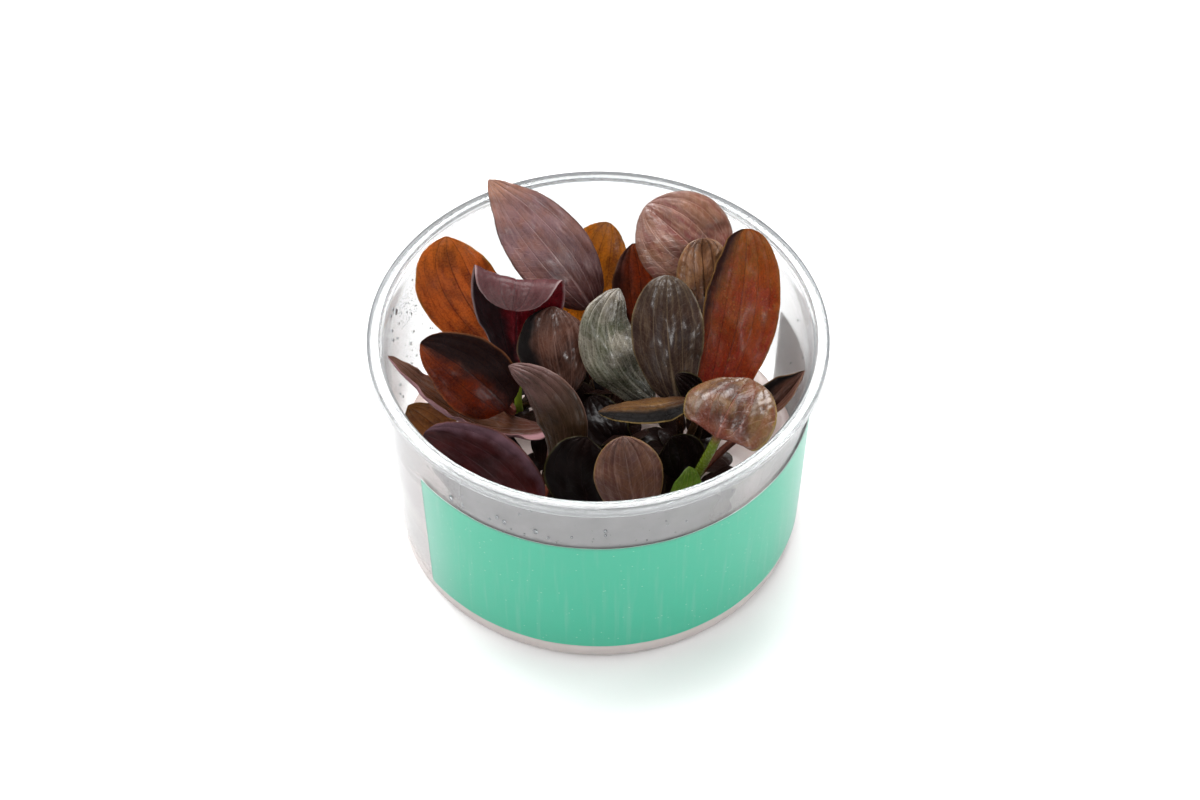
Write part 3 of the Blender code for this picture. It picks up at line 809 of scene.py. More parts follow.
def note(mesh: bpy.types.Mesh, name: str, *columns: np.ndarray) -> None:
    """Keep three numbers at each point of a mesh, for its material."""
    layer = mesh.attributes.new(name, "FLOAT_VECTOR", "POINT")
    layer.data.foreach_set("vector", np.column_stack(columns).ravel())


def finish_piece(name: str, maker: bmesh.types.BMesh, node: str,
                 material: bpy.types.Material, turn_out: bool = True) -> bpy.types.Object:
    """Make a piece of a mesh drawn in millimetres, in place of a CAD node.

    Args:
        name: The piece's name.
        maker: The mesh in millimetres, which is used up.
        node: The CAD node that it stands for, or "" where it is an extra.
        material: The piece's material.
        turn_out: Whether its normals are worked out again.

    Returns:
        The piece, which rides on the one body.
    """
    if turn_out:
        bmesh.ops.recalc_face_normals(maker, faces=maker.faces)
    bmesh.ops.scale(maker, vec=(MM, MM, MM), verts=maker.verts)
    mesh = bpy.data.meshes.new(name)
    maker.to_mesh(mesh)
    maker.free()
    mesh.shade_smooth()
    mesh.set_sharp_from_angle(angle=math.radians(SHARP_ANGLE))
    mesh.materials.append(material)
    piece = placed(name, mesh)
    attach(piece, "root")
    if node:
        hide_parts(node)
    LOG.info("%s: %d faces", name, len(mesh.polygons))
    return piece


def line_of(maker: bmesh.types.BMesh, profile: Sequence[tuple[float, float]],
            closed: bool = False) -> list:
    """Draw a profile of (radius, height) pairs in the XZ plane.

    Args:
        maker: The mesh to draw in.
        profile: The pairs.
        closed: Whether the last point joins the first.

    Returns:
        The vertices and edges made.
    """
    verts = [maker.verts.new((radius, 0.0, height)) for radius, height in profile]
    edges = [maker.edges.new(pair) for pair in zip(verts, verts[1:])]
    if closed:
        edges.append(maker.edges.new((verts[-1], verts[0])))
    return verts + edges


def turned(profile: Sequence[tuple[float, float]], steps: int) -> bmesh.types.BMesh:
    """Spin a profile that starts and ends on the axis into a closed solid."""
    maker = bmesh.new()
    bmesh.ops.spin(maker, geom=line_of(maker, profile), cent=(0, 0, 0), axis=(0, 0, 1),
                   angle=math.tau, steps=steps, use_merge=True)
    bmesh.ops.remove_doubles(maker, verts=maker.verts, dist=PROFILE_MERGE)
    return maker


def rounded(centre: tuple[float, float], radius: float, start: float, end: float,
            points: int = 6) -> list[tuple[float, float]]:
    """Return the points of a rounded corner.

    Args:
        centre: Radius and height of the corner's centre.
        radius: The corner's radius.
        start: First angle in degrees.
        end: Last angle in degrees.
        points: How many points.

    Returns:
        (radius, height) pairs.
    """
    angles = [math.radians(start + (end - start) * index / (points - 1)) for index in range(points)]
    return [(centre[0] + radius * math.cos(a), centre[1] + radius * math.sin(a)) for a in angles]


# Cup, label, gel


@dataclass
class CultureCup:
    """The clear cup: recessed foot, tapered wall and a wide flange with a hanging skirt."""

    height: float = 59.5
    rim_radius: float = 52.5
    skirt: float = 2.7
    rim_wall: float = 0.8
    step_radius: float = 49.8
    step_depth: float = 1.5
    foot_radius: float = 46.9
    top_radius: float = 49.6
    wall: float = 0.7
    floor: float = 1.6
    corner: float = 1.5
    recess_radius: float = 42.0
    recess: float = 0.6
    steps: int = 240
    finish: ClearPlasticFinish = field(default_factory=ClearPlasticFinish)

    def outer(self, height: float) -> float:
        """Return the radius of the wall's outer face at a height."""
        return self.foot_radius + (self.top_radius - self.foot_radius) * height / self.height

    def inner(self, height: float) -> float:
        """Return the radius of the wall's inner face at a height."""
        return self.outer(height) - self.wall

    def profile(self) -> list[tuple[float, float]]:
        """Return the cup's half outline, from the middle of the foot round to the floor."""
        skirt_low = self.height - self.skirt
        flange_low = self.height - self.rim_wall
        step = self.height - self.step_depth
        skirt_inner = self.rim_radius - self.rim_wall
        foot_outer = self.outer(0.0) - self.corner
        outline = [(0.0, self.recess), (self.recess_radius, self.recess)]
        outline += rounded((self.recess_radius + 0.5, 0.3), 0.3, 180, 270, 3)
        outline += rounded((foot_outer, self.corner), self.corner, -90, 0)
        outline += [(self.outer(h), h) for h in (4.0, 12.0, 24.0, 36.0, 48.0, 55.0)]
        outline += rounded((self.outer(flange_low) + 0.35, flange_low - 0.35), 0.35, 180, 90, 4)
        outline += rounded((skirt_inner - 0.3, flange_low - 0.3), 0.3, 90, 0, 4)
        outline += rounded((skirt_inner + 0.4, skirt_low + 0.4), 0.4, 180, 360, 7)
        outline += rounded((self.rim_radius - 0.7, self.height - 0.7), 0.7, 0, 90, 6)
        outline += rounded((self.step_radius + 0.25, self.height - 0.25), 0.25, 90, 180, 4)
        outline += rounded((self.step_radius - 0.25, step + 0.25), 0.25, 0, -90, 4)
        outline += rounded((self.inner(step) + 0.2, step - 0.2), 0.2, 90, 180, 3)
        outline += [(self.inner(h), h) for h in (50.0, 38.0, 26.0, 14.0, 5.0)]
        outline += rounded((self.inner(self.floor) - self.corner, self.floor + self.corner),
                           self.corner, 0, -90)
        outline += [(0.0, self.floor)]
        return outline

    def build(self) -> bpy.types.Object:
        """Build and dress the cup."""
        return finish_piece("clear_cup", turned(self.profile(), self.steps), "cup",
                            self.finish.material("clear_plastic_fine"))


@dataclass
class WrappedLabel:
    """The printed film round the wall. Its ends are in degrees from the front towards +X."""

    cup: CultureCup
    low: float = 5.0
    high: float = 42.2
    start: float = -54.0
    end: float = 118.0
    gap: float = 0.38
    thickness: float = 0.2
    columns: int = 172
    rows: int = 24
    finish: LabelFinish = field(default_factory=LabelFinish)

    def bend(self, mesh: bpy.types.Mesh, places: np.ndarray) -> None:
        """Bend a flat grid, which spans -1 to 1, round the wall's cone and note where it is."""
        turn, rise = (places[:, 0] + 1.0) / 2.0, (places[:, 1] + 1.0) / 2.0
        angle = np.radians(self.start + (self.end - self.start) * turn - 90.0)
        height = self.low + (self.high - self.low) * rise
        corner = np.minimum(rise, 1.0 - rise) * (self.high - self.low)
        lift = 0.05 * np.sin(turn * 61.0) * ease(corner, 6.0, 0.0)
        radius = self.cup.outer(height) + self.gap + self.thickness / 2.0 + lift * 0.5
        mesh.vertices.foreach_set("co", np.column_stack(
            (radius * np.cos(angle), radius * np.sin(angle), height)).ravel())
        note(mesh, "wrap", turn, rise, np.ones(len(turn)))

    def build(self) -> bpy.types.Object:
        """Build and dress the label."""
        maker = shaped_grid(self.columns, self.rows, self.bend)
        layer = maker.verts.layers.float_vector["wrap"]
        outward = sum((face.normal.dot(Vector((*face.calc_center_median().xy, 0.0)))
                       for face in maker.faces))
        if outward < 0.0:
            bmesh.ops.reverse_faces(maker, faces=maker.faces)
        before = set(maker.verts)
        bmesh.ops.solidify(maker, geom=maker.faces[:], thickness=self.thickness)
        radii = {True: [], False: []}
        for vert in maker.verts:
            radii[vert in before].append(vert.co.xy.length)
        outer_is_old = np.mean(radii[True]) > np.mean(radii[False])
        for vert in maker.verts:
            turn, rise, _ = vert[layer]
            vert[layer] = (turn, rise, 1.0 if (vert in before) == outer_is_old else 0.0)
        return finish_piece("wrapped_label", maker, "label",
                            self.finish.material("label_film_fine"))


@dataclass
class CultureGel:
    """The gel: a low disc that climbs a little up the wall, dimpled round each crown."""

    cup: CultureCup
    top: float = 17.0
    meniscus: float = 0.8
    gap: float = 0.12
    steps: int = 160
    rings: int = 46
    finish: GelFinish = field(default_factory=GelFinish)

    def build(self) -> bpy.types.Object:
        """Build and dress the gel."""
        edge = self.cup.inner(self.top) - self.gap
        foot = self.cup.inner(self.cup.floor) - self.gap
        low = self.cup.floor + self.gap
        profile = [(0.0, low)]
        profile += rounded((foot - 1.3, low + 1.3), 1.3, -90, 0)
        profile += [(edge, self.top + self.meniscus)]
        for index in range(1, self.rings + 1):
            share = index / self.rings
            radius = edge * (1.0 - share)
            climb = self.meniscus * math.exp(-(edge - radius) / 0.7)
            profile.append((radius, self.top + climb))
        maker = turned(profile, self.steps)
        crowns = [place.value for place in Plantlet]
        for vert in maker.verts:
            if vert.co.z < self.top - 0.2 or vert.co.xy.length > edge - 1.2:
                continue
            x, y = vert.co.xy
            near = min(math.hypot(x - cx, y - cy) for cx, cy in crowns)
            wave = 0.12 * math.sin(x * 0.41 + 1.1) * math.cos(y * 0.37) - 0.1
            vert.co.z += wave + 0.5 * math.exp(-((near - 3.5) / 1.1) ** 2)
        return finish_piece("culture_gel_block", maker, "gel",
                            self.finish.material("culture_gel_fine"))


# Plants


class Plantlet(Enum):
    """Places of the crowns, as (x, y)."""

    LEFT = (-20.0, 12.0)
    BACK = (1.0, 20.0)
    BACK_RIGHT = (20.0, 21.0)
    RIGHT = (21.0, -1.0)
    MIDDLE = (1.0, 2.0)
    FRONT_LEFT = (-13.0, -12.0)
    FRONT = (4.0, -24.0)
    FRONT_RIGHT = (18.0, -20.0)


@dataclass
class Crown:
    """Stem base of one plantlet, half sunk in the gel, with lobes where old sheaths were."""

    plantlet: Plantlet
    radius: float = 3.4
    top: float = 19.6
    low: float = 14.0
    steps: int = 48
    lobes: int = 5

    def build(self, material: bpy.types.Material) -> bpy.types.Object:
        """Build and dress the crown."""
        name = self.plantlet.name.lower()
        x, y = self.plantlet.value
        phase = 0.7 * x + 0.3 * y
        profile = [(0.0, self.low), (self.radius * 0.7, self.low), (self.radius, self.low + 1.2)]
        profile += [(self.radius * (1.0 - 0.02 * k), self.low + 1.2 + 0.6 * k) for k in range(1, 5)]
        profile += rounded((self.radius * 0.5, self.top - 1.2), 1.2, 20, 90, 5)
        profile += [(self.radius * 0.3, self.top), (0.0, self.top - 0.3)]
        maker = turned(profile, self.steps)
        for vert in maker.verts:
            angle = math.atan2(vert.co.y, vert.co.x)
            swell = 1.0 + 0.07 * math.sin(self.lobes * angle + phase + vert.co.z * 0.5)
            vert.co.x *= swell * 0.96
            vert.co.y *= swell * 0.96
        bmesh.ops.translate(maker, vec=(x, y, 0.0), verts=maker.verts)
        return finish_piece("stem_base_" + name, maker, "crown_" + name, material)


@dataclass(frozen=True)
class BladePlan:
    """Where one leaf lies, how wide it is and how it is folded.

    Attributes:
        node: The CAD node.
        plantlet: The plantlet whose crown it grows from.
        bearing: Side of the crown, in degrees from +X.
        heel: First point of the midrib.
        belly: Middle point of the midrib.
        tip: Last point of the midrib.
        across: Direction from the blade's left edge to its right edge.
        width: Width of the blade.
        finish: Its finish.
        fold: Degrees by which each half rises at the midrib.
        cup: Degrees by which each half rises over its width.
        curl_left: Degrees by which the left margin rises more.
        curl_right: Degrees by which the right margin rises more.
        hook: Degrees by which the end turns over.
        hook_from: Share of the length where that starts.
        twist: Degrees by which the blade turns about its midrib.
        broadest: Above 1 the widest place moves towards the tip.
        fullness: Smaller makes a squarer outline.
        lobes: How far the margin is drawn back at the heel.
        petiole: Radius of the petiole.
        wave: Height of the margin's waves.
        quilt: Height of the bulges between the veins.
        crumple: Height of broad unevenness.
        point: How much the tip is drawn out.
        cells: Grid steps across one face.
    """

    node: str
    plantlet: Plantlet
    bearing: float
    heel: Point
    belly: Point
    tip: Point
    across: Point
    width: float
    finish: Finish
    fold: float = 0.0
    cup: float = 15.0
    curl_left: float = 0.0
    curl_right: float = 0.0
    hook: float = 0.0
    hook_from: float = 0.75
    twist: float = 0.0
    broadest: float = 1.0
    fullness: float = 0.62
    lobes: float = 0.0
    petiole: float = 0.9
    wave: float = 0.12
    quilt: float = 0.20
    crumple: float = 0.35
    point: float = 0.0
    cells: int = 40


@dataclass
class SwordLeaf:
    """One leaf, from the crown to its tip, as a closed skin with midrib, veins and waves."""

    plan: BladePlan
    seed: int
    blade_rows: int = 76
    stalk_rows: int = 18
    half_thickness: float = 0.24
    ring_radius: float = 2.15
    root_height: float = 18.8
    curl_start: float = 0.6
    arrival: float = 0.7
    samples: int = 240

    def spine(self) -> tuple[np.ndarray, np.ndarray]:
        """Return points and directions along the midrib, with the end turned over at a hook."""
        heel, belly, tip = (np.array(p) for p in (self.plan.heel, self.plan.belly, self.plan.tip))
        control = 2.0 * belly - 0.5 * (heel + tip)
        across = Vector(self.plan.across)
        point = heel.copy()
        points, slopes = [], []
        for index in range(self.samples + 1):
            t = index / self.samples
            slope = 2.0 * ((1.0 - t) * (control - heel) + t * (tip - control))
            if self.plan.hook:
                share = float(ease(t, self.plan.hook_from, self.plan.hook_from + 0.2))
                line = Vector(slope)
                side = (across - across.project(line)).normalized()
                turn = Matrix.Rotation(math.radians(self.plan.hook) * share, 3, side)
                slope = np.array(turn @ line)
            points.append(point.copy())
            slopes.append(slope / np.linalg.norm(slope))
            point = point + slope / self.samples
        return np.array(points), np.array(slopes)

    def stalk(self, heel: np.ndarray, direction: np.ndarray) -> tuple[np.ndarray, np.ndarray]:
        """Return points and directions of the petiole, upright in the crown, in line at the heel.

        Args:
            heel: Where the blade begins.
            direction: The midrib's direction there.

        Returns:
            The points and the directions.
        """
        x, y = self.plan.plantlet.value
        angle = math.radians(self.plan.bearing)
        root = np.array((x + self.ring_radius * math.cos(angle),
                         y + self.ring_radius * math.sin(angle), 19.9))
        reach = np.linalg.norm(heel - root)
        leave = np.array((0.0, 0.0, reach))
        arrive = direction * reach * self.arrival
        t = (np.arange(self.stalk_rows) / self.stalk_rows)[:, None]
        points = ((2 * t**3 - 3 * t**2 + 1) * root + (t**3 - 2 * t**2 + t) * leave
                  + (3 * t**2 - 2 * t**3) * heel + (t**3 - t**2) * arrive)
        slopes = ((6 * t**2 - 6 * t) * (root - heel) + (3 * t**2 - 4 * t + 1) * leave
                  + (3 * t**2 - 2 * t) * arrive)
        points[0, 2] = self.root_height
        return points, slopes / np.linalg.norm(slopes, axis=1)[:, None]

    def section(self, shares: np.ndarray) -> tuple[np.ndarray, np.ndarray, np.ndarray]:
        """Return place across, rise and lean of the middle surface at shares of the half width."""
        steps = 16
        reach = np.abs(shares)[:, None]
        t = reach * (np.arange(steps)[None, :] + 0.5) / steps
        curl = np.where(shares > 0.0, self.plan.curl_right, self.plan.curl_left)[:, None]
        margin = ease(t, self.curl_start, 1.0)
        lean = np.radians(self.plan.fold * ease(t, 0.0, 0.08) + self.plan.cup * t + curl * margin)
        sign = np.where(shares >= 0.0, 1.0, -1.0)
        out = np.cos(lean).mean(axis=1) * np.abs(shares) * sign
        rise = np.sin(lean).mean(axis=1) * np.abs(shares)
        return out, rise, lean[:, -1] * sign

    def half_width(self, s: np.ndarray) -> np.ndarray:
        """Return the blade's half width at shares of its length."""
        inside = np.clip(s, 1e-6, 1.0 - 1e-6)
        swell = np.sin(np.pi * inside**self.plan.broadest)
        swell = np.where((s > 0.0) & (s < 1.0), np.maximum(swell, 0.0), 0.0)
        drawn = 1.0 - self.plan.point * ease(s, 0.76, 1.0)
        return 0.5 * self.plan.width * swell**self.plan.fullness * drawn

    def relief(self, share: np.ndarray, s: np.ndarray, x: np.ndarray,
               y: np.ndarray) -> np.ndarray:
        """Return how far the middle surface stands off along its normal.

        Args:
            share: Share of the half width, -1 to 1.
            s: Share of the length.
            x: Place across in millimetres.
            y: Place along in millimetres.

        Returns:
            The height in millimetres.
        """
        rng = np.random.default_rng(self.seed)
        phase = rng.uniform(0.0, math.tau, 10)
        reach = np.abs(share)
        inside = ease(s, 0.02, 0.2) * ease(s, 1.02, 0.9)
        side = np.where(share > 0.0, phase[0], phase[1])
        wave = np.sin(y * math.tau / rng.uniform(6.0, 8.5) + side)
        wave += 0.5 * np.sin(y * math.tau / rng.uniform(3.2, 4.4) + side * 1.7)
        broad = (np.sin(x * 0.36 + y * 0.22 + phase[2]) + np.sin(y * 0.41 - x * 0.17 + phase[3])
                 + 0.6 * np.sin(x * 0.71 + y * 0.58 + phase[4])) / 2.0
        bands = np.abs(np.sin(np.pi * np.interp(reach, (0.0, 0.38, 0.72, 1.0), (0, 1, 2, 3))))
        ladder = 0.5 - 0.5 * np.cos(math.tau * (y * 0.52 - np.abs(x) * 0.50
                                                + 0.25 * np.sin(y * 0.5 + phase[5])))
        bulge = bands**0.6 * (0.45 + 0.55 * ladder**0.5)
        return inside * (self.plan.wave * wave * reach**3 + self.plan.crumple * broad
                         + self.plan.quilt * bulge)

    def shape(self, mesh: bpy.types.Mesh, grid: np.ndarray) -> None:
        """Lay the points of a flat grid on the leaf and note where on the leaf each one is."""
        rows, columns = self.stalk_rows + self.blade_rows + 2, 2 * self.plan.cells + 1
        column = np.rint((grid[:, 0] + 1.0) / 2.0 * (columns - 1)).astype(int)
        row = np.rint((grid[:, 1] + 1.0) / 2.0 * (rows - 1)).astype(int)

        points, slopes = self.spine()
        stalk_points, stalk_slopes = self.stalk(points[0], slopes[0])
        s = 0.5 - 0.5 * np.cos(np.pi * np.arange(self.blade_rows + 1) / self.blade_rows)
        pick = np.rint(s * self.samples).astype(int)
        line = np.vstack((stalk_points[:1], stalk_points, points[pick]))
        slope = np.vstack((stalk_slopes[:1], stalk_slopes, slopes[pick]))
        run = np.concatenate(([-1.0], -1.0 + np.arange(self.stalk_rows) / self.stalk_rows, s))
        step = np.linalg.norm(np.diff(line, axis=0), axis=1)
        length = np.concatenate(([0.0], np.cumsum(step)))
        length -= length[self.stalk_rows + 1]
        along = np.maximum(run, 0.0)

        across = np.array(self.plan.across)
        side = across - (slope @ across)[:, None] * slope
        side /= np.linalg.norm(side, axis=1)[:, None]
        twist = np.radians(self.plan.twist) * (along - 0.5)
        turned_side = (side * np.cos(twist)[:, None]
                       + np.cross(slope, side) * np.sin(twist)[:, None])
        up = np.cross(turned_side, slope)

        flat = ease(run, 0.0, 0.3)
        foot = 1.0 + 0.45 * ease(run, -0.75, -1.0)
        petiole = self.plan.petiole * foot
        width = self.half_width(along) + petiole * (1.0 - ease(run, 0.0, 0.25))
        width[0] = 0.0
        sweep = self.plan.lobes * self.plan.width * (1.0 - along) ** 2 * flat

        half = (columns - 1) // 2
        turn = np.concatenate((np.arange(half + 1), np.arange(half - 1, -1, -1))) / half
        share = np.sin(np.pi / 2.0 * (2.0 * turn - 1.0))
        face = np.concatenate((np.ones(half), [0.0], -np.ones(half - 1), [0.0]))
        face[0] = 0.0
        out, rise, lean = self.section(share)

        u, r = share[column], row
        f = flat[r]
        placed_out = u + (out[column] - u) * f
        placed_rise = rise[column] * f
        x, y = u * width[r], length[r]
        round_half = petiole[r] * np.sqrt(np.clip(1.0 - u * u, 0.0, 1.0))
        thin = self.half_thickness * np.sqrt(np.clip(1.0 - u**8, 0.0, 1.0))
        thin = thin * (1.0 - 0.45 * u * u) * ease(along[r], 1.03, 0.9) + 0.02
        rib = 0.30 * (1.0 - along[r]) * np.exp(-(x / 0.75) ** 2) * f
        groove = 0.12 * (1.1 - along[r]) * np.exp(-(x / 0.45) ** 2) * f
        thick = round_half + (thin - round_half) * f
        offset = np.where(face[column] > 0.0, thick - groove, 0.0)
        offset = np.where(face[column] < 0.0, -(thick + rib), offset)
        offset = np.where(r == 0, 0.0, offset)
        offset += self.relief(u, along[r], x, y) * f

        bent = lean[column] * f
        normal = np.cos(bent)[:, None] * up[r] - np.sin(bent)[:, None] * turned_side[r]
        place = (line[r] + width[r][:, None] * (placed_out[:, None] * turned_side[r]
                                                + placed_rise[:, None] * up[r])
                 - (sweep[r] * u * u)[:, None] * slope[r] + offset[:, None] * normal)
        place[r == rows - 1] = line[-1]
        mesh.vertices.foreach_set("co", place.ravel())
        note(mesh, "blade", u, run[r], face[column])
        note(mesh, "flat", x, y, width[r])

    def skin(self) -> bmesh.types.BMesh:
        """Return the leaf's closed skin."""
        maker = shaped_grid(2 * self.plan.cells, self.stalk_rows + self.blade_rows + 1, self.shape)
        bmesh.ops.remove_doubles(maker, verts=maker.verts, dist=SKIN_MERGE)
        return maker

    def build(self, material: bpy.types.Material) -> bpy.types.Object:
        """Build and dress the leaf."""
        name = self.plan.node.replace("leaf_", "sword_leaf_")
        return finish_piece(name, self.skin(), self.plan.node,
                            material)


@dataclass
class BasalGrowth:
    """Short young leaves and sheaths crowded round one crown, down at the gel, near-black as
    painted shade that darkens the gaps between the stalks.
    """

    plantlet: Plantlet
    seed: int
    count: int = 10
    reach: tuple[float, float] = (7.0, 16.0)
    height: tuple[float, float] = (23.0, 33.0)
    room: float = 37.0

    def plans(self) -> list[BladePlan]:
        """Return where the short leaves lie."""
        rng = np.random.default_rng(self.seed)
        x, y = self.plantlet.value
        found = []
        for index in range(self.count):
            bearing = 360.0 * index / self.count + rng.uniform(-16.0, 16.0)
            angle = math.radians(bearing)
            out = np.array((math.cos(angle), math.sin(angle), 0.0))
            reach = rng.uniform(*self.reach)
            high = rng.uniform(*self.height)
            base = np.array((x, y, 0.0))
            tip = base + out * reach + np.array((0.0, 0.0, high))
            if np.hypot(tip[0], tip[1]) > self.room:
                continue
            heel = base + out * (2.6 + 0.15 * reach) + np.array((0.0, 0.0, SHORT_LEAF_HEEL))
            middle = 0.42 * SHORT_LEAF_HEEL + 0.58 * high
            belly = base + out * reach * 0.62 + np.array((0.0, 0.0, middle))
            across = (-out[1], out[0], rng.uniform(-0.3, 0.3))
            found.append(BladePlan(
                "", self.plantlet, bearing, tuple(heel), tuple(belly), tuple(tip), across,
                rng.uniform(6.5, 9.5), Finish.NEAR_BLACK,
                cup=rng.uniform(5.0, 30.0), fullness=0.55, petiole=0.8, cells=12))
        return found

    def build(self, material: bpy.types.Material) -> bpy.types.Object:
        """Build and dress the short leaves as one piece."""
        together = bmesh.new()
        for index, plan in enumerate(self.plans()):
            leaf = SwordLeaf(plan, self.seed * 10 + index, blade_rows=26, stalk_rows=5,
                             ring_radius=2.5)
            add_to(together, leaf.skin())
        name = "basal_leaves_" + self.plantlet.name.lower()
        return finish_piece(name, together, "", material)


# What the short leaves between the stalks share
YOUNG = {"fullness": 0.5, "petiole": 0.7, "cells": 20, "wave": 0.25}

